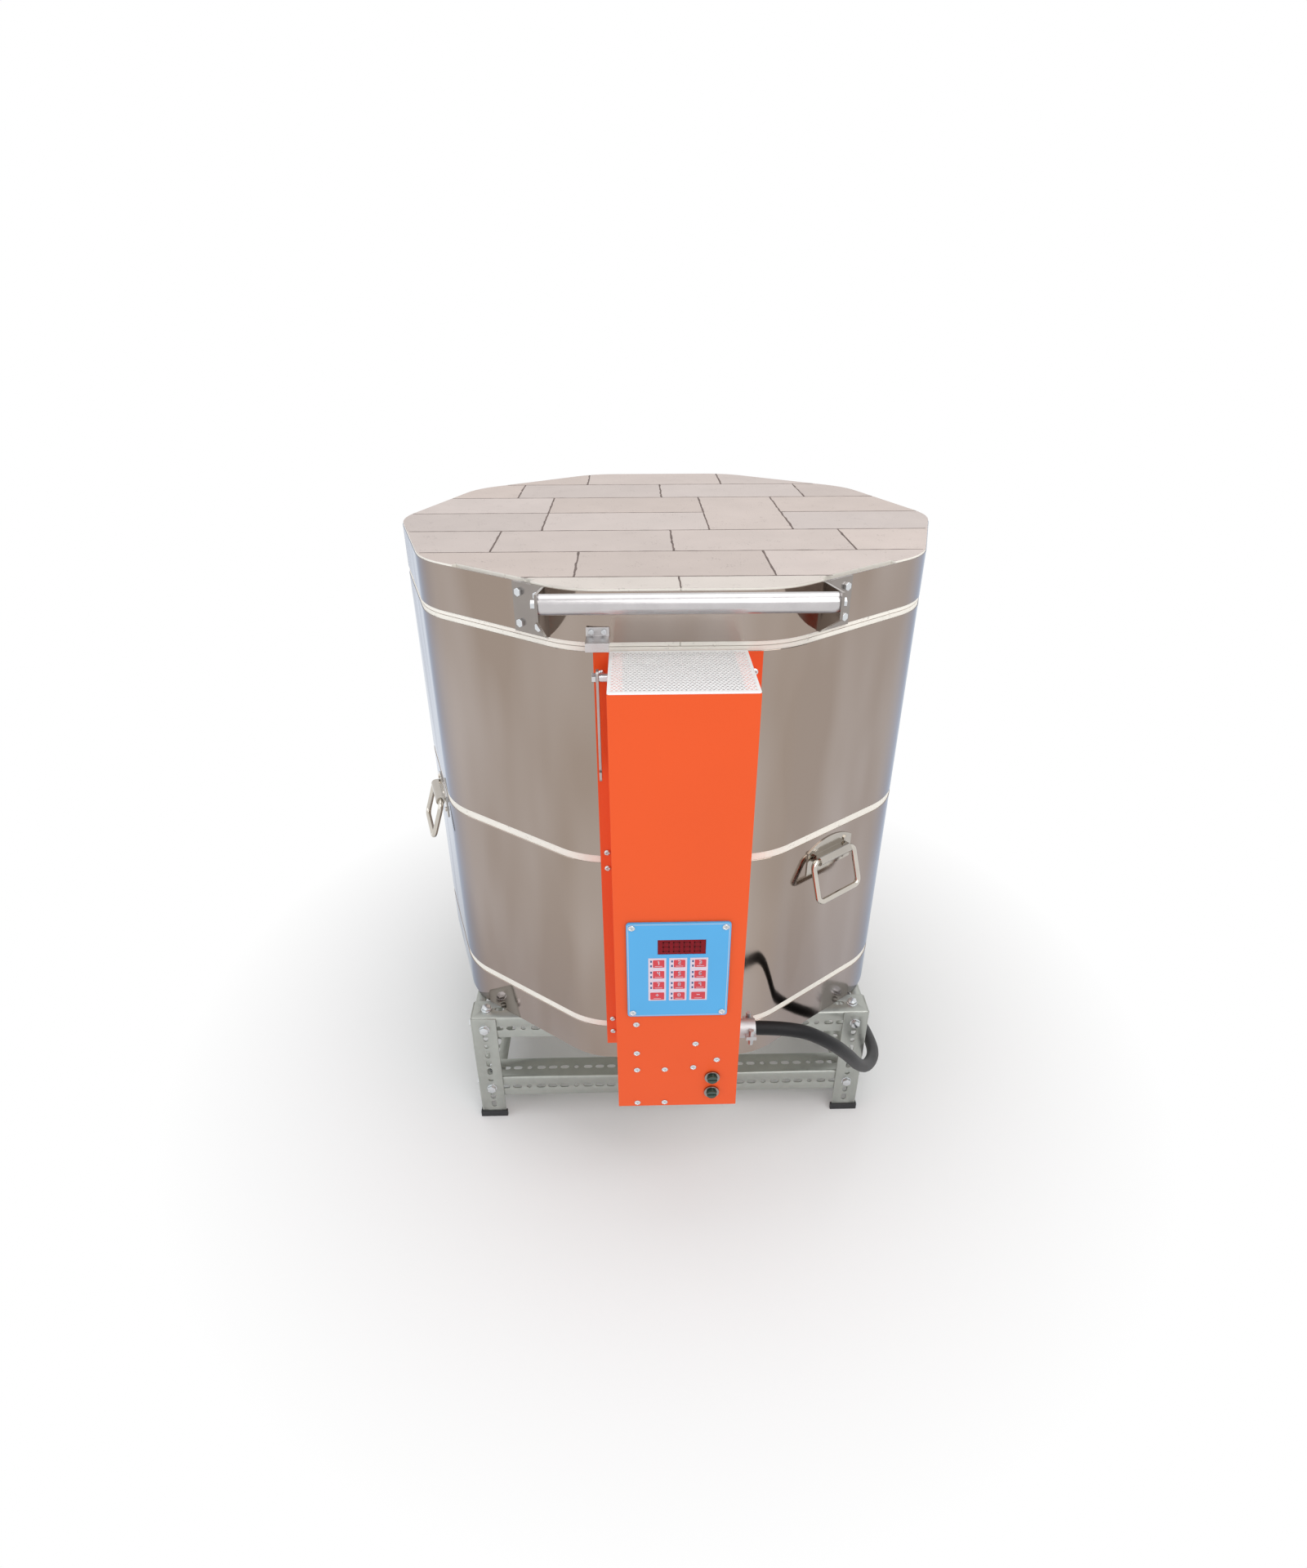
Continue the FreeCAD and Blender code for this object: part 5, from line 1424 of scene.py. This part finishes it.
# Points listed one by one, then the turn of the coil in degrees and its climb, then the way to the plug
CORD_ROUTE = ((0.095, -0.430, 0.335), (0.160, -0.430, 0.335), (0.214, -0.424, 0.300), (0.252, -0.399, 0.246),
              (0.278, -0.369, 0.194), (0.307, -0.330, 0.146), (0.338, -0.272, 0.112), (0.350, -0.198, 0.078),
              (0.354, -0.122, 0.044), (0.354, -0.046, 0.018), (0.350, 0.028, 0.0098), (0.336, 0.100, 0.0098),
              (0.302, 0.166, 0.0098), (0.247, 0.218, 0.0098), (0.180, 0.249, 0.0098))
COIL_CENTRE = (0.150, 0.145)
COIL_RADIUS = 0.105
COIL_FIRST, COIL_LAST = 86.0, 460.0
COIL_STEP = 22.0
COIL_LOW, COIL_HIGH = 0.0098, 0.0293
CLIMB_FIRST, CLIMB_SPAN = 330.0, 90.0
TAIL_START = (0.114, 0.244, 0.0293)
TAIL_END = (0.0361, 0.2186, 0.029)


def cord_points():
    """The listed route, the coil's turns round its centre as it climbs on itself, and the tail."""
    points = list(CORD_ROUTE)
    count = int((COIL_LAST - COIL_FIRST) / COIL_STEP) + 1
    for k in range(1, count):
        angle = COIL_FIRST + (COIL_LAST - COIL_FIRST) * k / count
        rise = min(1.0, max(0.0, (angle - CLIMB_FIRST) / CLIMB_SPAN))
        rise = rise * rise * (3 - 2 * rise)
        points.append((COIL_CENTRE[0] + COIL_RADIUS * math.cos(math.radians(angle)),
                       COIL_CENTRE[1] + COIL_RADIUS * math.sin(math.radians(angle)),
                       COIL_LOW + (COIL_HIGH - COIL_LOW) * rise))
    return points + [TAIL_START, tuple(Vector(TAIL_START).lerp(Vector(TAIL_END), 0.5)), TAIL_END]


def add_cord():
    """The lead as one open spline, from the clamp to the plug."""
    s = sizes()
    curve = bpy.data.curves.new("Power_cord", "CURVE")
    curve.dimensions = "3D"
    curve.resolution_u = 12
    curve.bevel_depth = s.cord_diameter / 2
    curve.bevel_resolution = 6
    curve.use_fill_caps = True
    spline = curve.splines.new("NURBS")
    route = cord_points()
    spline.points.add(len(route) - 1)
    spline.points.foreach_set("co", [c for point in route for c in (*point, 1.0)])
    spline.order_u = 3
    spline.use_endpoint_u = True
    curve.materials.append(finish("cord"))
    cord = in_scene("Power_cord", curve)
    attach(cord, KILN)
    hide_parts("cord_run", "cord_coil")
    body = softened("plug_body", "Plug_body", "black", KILN, 0.003, 3)
    blades = softened("plug_blades", "Plug_blades", "brass", KILN, 0.0004)
    softened("cord_clamp", "Cord_clamp", "cast", KILN, 0.0006)


def add_plain():
    """Finishes for the CAD nodes that stay as they are."""
    finishes = {
        "floor_slab": "ring_brick", "lower_ring_bricks": "ring_brick", "upper_ring_bricks": "ring_brick",
        "element_feedthroughs": "porcelain", "thermocouple": "porcelain", "circuit_board": "board",
        "relays": "black", "transformer": "iron", "terminal_block": "black"}
    for node, look in finishes.items():
        dress(node, look)


# Stage

# The camera in metres, degrees and millimetres, where the floor turns white, and the world's light
CAMERA_PLACE = (-0.04954, -1.27525, 1.18717)
CAMERA_PITCH, CAMERA_ROLL, CAMERA_YAW = 29.15, -0.084, 1.344
CAMERA_LENS = 19.572
FLOOR_NEAR, FLOOR_FAR = 0.34, 0.90
FLOOR_HALF = 30.0
WORLD_LIGHT = 0.48
LAMP_TARGET = (0.0, 0.0, 0.5)


def add_camera():
    """The camera that took the reference view, fitted to the bricks and the stand."""
    data = bpy.data.cameras.new("Camera")
    data.lens = CAMERA_LENS
    data.sensor_width = 36.0
    data.clip_end = 60.0
    camera = in_scene("Camera", data)
    pitch = Matrix.Rotation(math.radians(90 - CAMERA_PITCH), 4, "X")
    camera.matrix_world = Matrix.Translation(CAMERA_PLACE) @ spun(-CAMERA_YAW) @ pitch @ spun(CAMERA_ROLL)
    bpy.context.scene.camera = camera


def add_world():
    """White where the camera and the bright steel look, softer where it lights the object."""
    world = bpy.data.worlds.new("Backdrop")
    world.use_nodes = True
    bpy.context.scene.world = world
    tree = world.node_tree
    light = tree.nodes["Background"]
    light.inputs["Color"].default_value = (1, 1, 1, 1)
    path = tree.nodes.new("ShaderNodeLightPath")
    seen = maths(tree, "ADD", path.outputs["Is Camera Ray"], path.outputs["Is Glossy Ray"])
    seen = maths(tree, "ADD", seen, path.outputs["Is Transmission Ray"], True)
    link(tree, spread(tree, seen, 0.0, 1.0, WORLD_LIGHT, 1.0), light.inputs["Strength"])


def add_lamp(name, place, size, power, tint=(1, 1, 1)):
    """A rectangular lamp that shines at the middle of the kiln."""
    data = bpy.data.lights.new(name, "AREA")
    data.shape = "RECTANGLE"
    data.size, data.size_y = size
    data.energy = power
    data.color = tint
    lamp = in_scene(name, data)
    lamp.location = place
    lamp.rotation_euler = (Vector(LAMP_TARGET) - Vector(place)).to_track_quat("-Z", "Y").to_euler()
    lamp.visible_camera = False
    return lamp


def floor_finish():
    """White floor that shows the contact shadow near the object and turns into plain white further out."""
    made = Finish("studio_floor", (0.93, 0.93, 0.93), 0.0, 0.9)
    tree = made.tree
    distance = tree.nodes.new("ShaderNodeVectorMath")
    distance.operation = "LENGTH"
    link(tree, made.where, distance.inputs[0])
    plain = spread(tree, distance.outputs["Value"], FLOOR_NEAR, FLOOR_FAR)
    glow = tree.nodes.new("ShaderNodeEmission")
    mix = tree.nodes.new("ShaderNodeMixShader")
    link(tree, plain, mix.inputs[0])
    link(tree, made.shader.outputs[0], mix.inputs[1])
    link(tree, glow.outputs[0], mix.inputs[2])
    link(tree, mix.outputs[0], tree.nodes["Material Output"].inputs["Surface"])
    return made.material


def add_stage():
    """Floor, backdrop, camera and lamps."""
    points, faces = flat_bar(2 * FLOOR_HALF, 2 * FLOOR_HALF)
    mesh = bpy.data.meshes.new("Floor")
    mesh.from_pydata(points.tolist(), [], faces)
    mesh.materials.append(floor_finish())
    floor = in_scene("Floor", mesh)
    add_world()
    add_camera()
    lamps = [add_lamp("Key light", (1.2, -2.2, 3.0), (2.6, 2.2), 42.0),
             add_lamp("Fill light", (-2.6, -1.2, 1.6), (2.2, 2.4), 18.0, (0.86, 0.92, 1.0)),
             add_lamp("Top light", (0.0, 0.4, 3.2), (2.6, 2.2), 20.0)]
    bpy.context.scene.view_settings.view_transform = "Standard"


# Operators, panel and registration

class KILN_OT_lid_bricks(bpy.types.Operator):
    """Eased and toned bricks of the lid."""

    bl_idname = "kiln.lid_bricks"
    bl_label = "Lid bricks"

    def execute(self, context):
        add_lid_bricks()
        return {"FINISHED"}


class KILN_OT_cement(bpy.types.Operator):
    """Cement in the lid's joints."""

    bl_idname = "kiln.cement"
    bl_label = "Cement"

    def execute(self, context):
        add_cement()
        return {"FINISHED"}


class KILN_OT_bands(bpy.types.Operator):
    """Bright wraps round the brick."""

    bl_idname = "kiln.bands"
    bl_label = "Steel bands"

    def execute(self, context):
        add_bands()
        return {"FINISHED"}


class KILN_OT_stand(bpy.types.Operator):
    """Legs and rails of slotted angle, their bolts and foot caps."""

    bl_idname = "kiln.stand"
    bl_label = "Stand"

    def execute(self, context):
        add_stand()
        return {"FINISHED"}


class KILN_OT_box(bpy.types.Operator):
    """Orange cover and back plate with their screws."""

    bl_idname = "kiln.box"
    bl_label = "Control box"

    def execute(self, context):
        add_box()
        return {"FINISHED"}


class KILN_OT_grille(bpy.types.Operator):
    """Perforated top of the control box."""

    bl_idname = "kiln.grille"
    bl_label = "Grille"

    def execute(self, context):
        add_grille()
        return {"FINISHED"}


class KILN_OT_controller(bpy.types.Operator):
    """Blue plate, display and screws."""

    bl_idname = "kiln.controller"
    bl_label = "Controller"

    def execute(self, context):
        add_panel()
        return {"FINISHED"}


class KILN_OT_keys(bpy.types.Operator):
    """Twelve keys with their signs."""

    bl_idname = "kiln.keys"
    bl_label = "Keys"

    def execute(self, context):
        add_keys()
        return {"FINISHED"}


class KILN_OT_fuses(bpy.types.Operator):
    """Fuse holders and their caps."""

    bl_idname = "kiln.fuses"
    bl_label = "Fuses"

    def execute(self, context):
        add_fuses()
        return {"FINISHED"}


class KILN_OT_lid_furniture(bpy.types.Operator):
    """Handle, catch, prop and hinge."""

    bl_idname = "kiln.lid_furniture"
    bl_label = "Lid furniture"

    def execute(self, context):
        add_lid_furniture()
        return {"FINISHED"}


class KILN_OT_bails(bpy.types.Operator):
    """Rod loops and the plates that carry them."""

    bl_idname = "kiln.bails"
    bl_label = "Lifting handles"

    def execute(self, context):
        add_bails()
        return {"FINISHED"}


class KILN_OT_elements(bpy.types.Operator):
    """Wound heating elements."""

    bl_idname = "kiln.elements"
    bl_label = "Elements"

    def execute(self, context):
        add_elements()
        return {"FINISHED"}


class KILN_OT_cord(bpy.types.Operator):
    """Lead, clamp and plug."""

    bl_idname = "kiln.cord"
    bl_label = "Power cord"

    def execute(self, context):
        add_cord()
        return {"FINISHED"}


class KILN_OT_plain(bpy.types.Operator):
    """Finishes of the parts kept as they are."""

    bl_idname = "kiln.plain"
    bl_label = "Plain parts"

    def execute(self, context):
        add_plain()
        return {"FINISHED"}


class KILN_OT_stage(bpy.types.Operator):
    """Floor, backdrop, camera and lamps."""

    bl_idname = "kiln.stage"
    bl_label = "Stage"

    def execute(self, context):
        add_stage()
        return {"FINISHED"}


OPERATORS = (
    KILN_OT_lid_bricks,
    KILN_OT_cement,
    KILN_OT_bands,
    KILN_OT_stand,
    KILN_OT_box,
    KILN_OT_grille,
    KILN_OT_controller,
    KILN_OT_keys,
    KILN_OT_fuses,
    KILN_OT_lid_furniture,
    KILN_OT_bails,
    KILN_OT_elements,
    KILN_OT_cord,
    KILN_OT_plain,
    KILN_OT_stage,
)


class KILN_PT_panel(bpy.types.Panel):
    """The kiln's sizes, colours and building steps."""

    bl_label = "Ceramic kiln"
    bl_idname = "KILN_PT_panel"
    bl_space_type = "VIEW_3D"
    bl_region_type = "UI"
    bl_category = "Kiln"

    def draw(self, context):
        scene = context.scene
        for group in (scene.kiln_sizes, scene.kiln_colours):
            for name in group.__annotations__:
                self.layout.prop(group, name)
        for one in OPERATORS:
            self.layout.operator(one.bl_idname)


CLASSES = (KilnSizes, KilnColours, *OPERATORS, KILN_PT_panel)


def register():
    """Registers the classes and hangs the sizes and colours on the scene."""
    for one in CLASSES:
        bpy.utils.register_class(one)
    bpy.types.Scene.kiln_sizes = bpy.props.PointerProperty(type=KilnSizes)
    bpy.types.Scene.kiln_colours = bpy.props.PointerProperty(type=KilnColours)


def unregister():
    """Takes back what register did."""
    del bpy.types.Scene.kiln_colours
    del bpy.types.Scene.kiln_sizes
    for one in reversed(CLASSES):
        bpy.utils.unregister_class(one)


def main():
    """Registers the add-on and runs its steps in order."""
    register()
    for one in OPERATORS:
        getattr(bpy.ops.kiln, one.bl_idname.split(".")[1])()


if __name__ == "__main__":
    main()
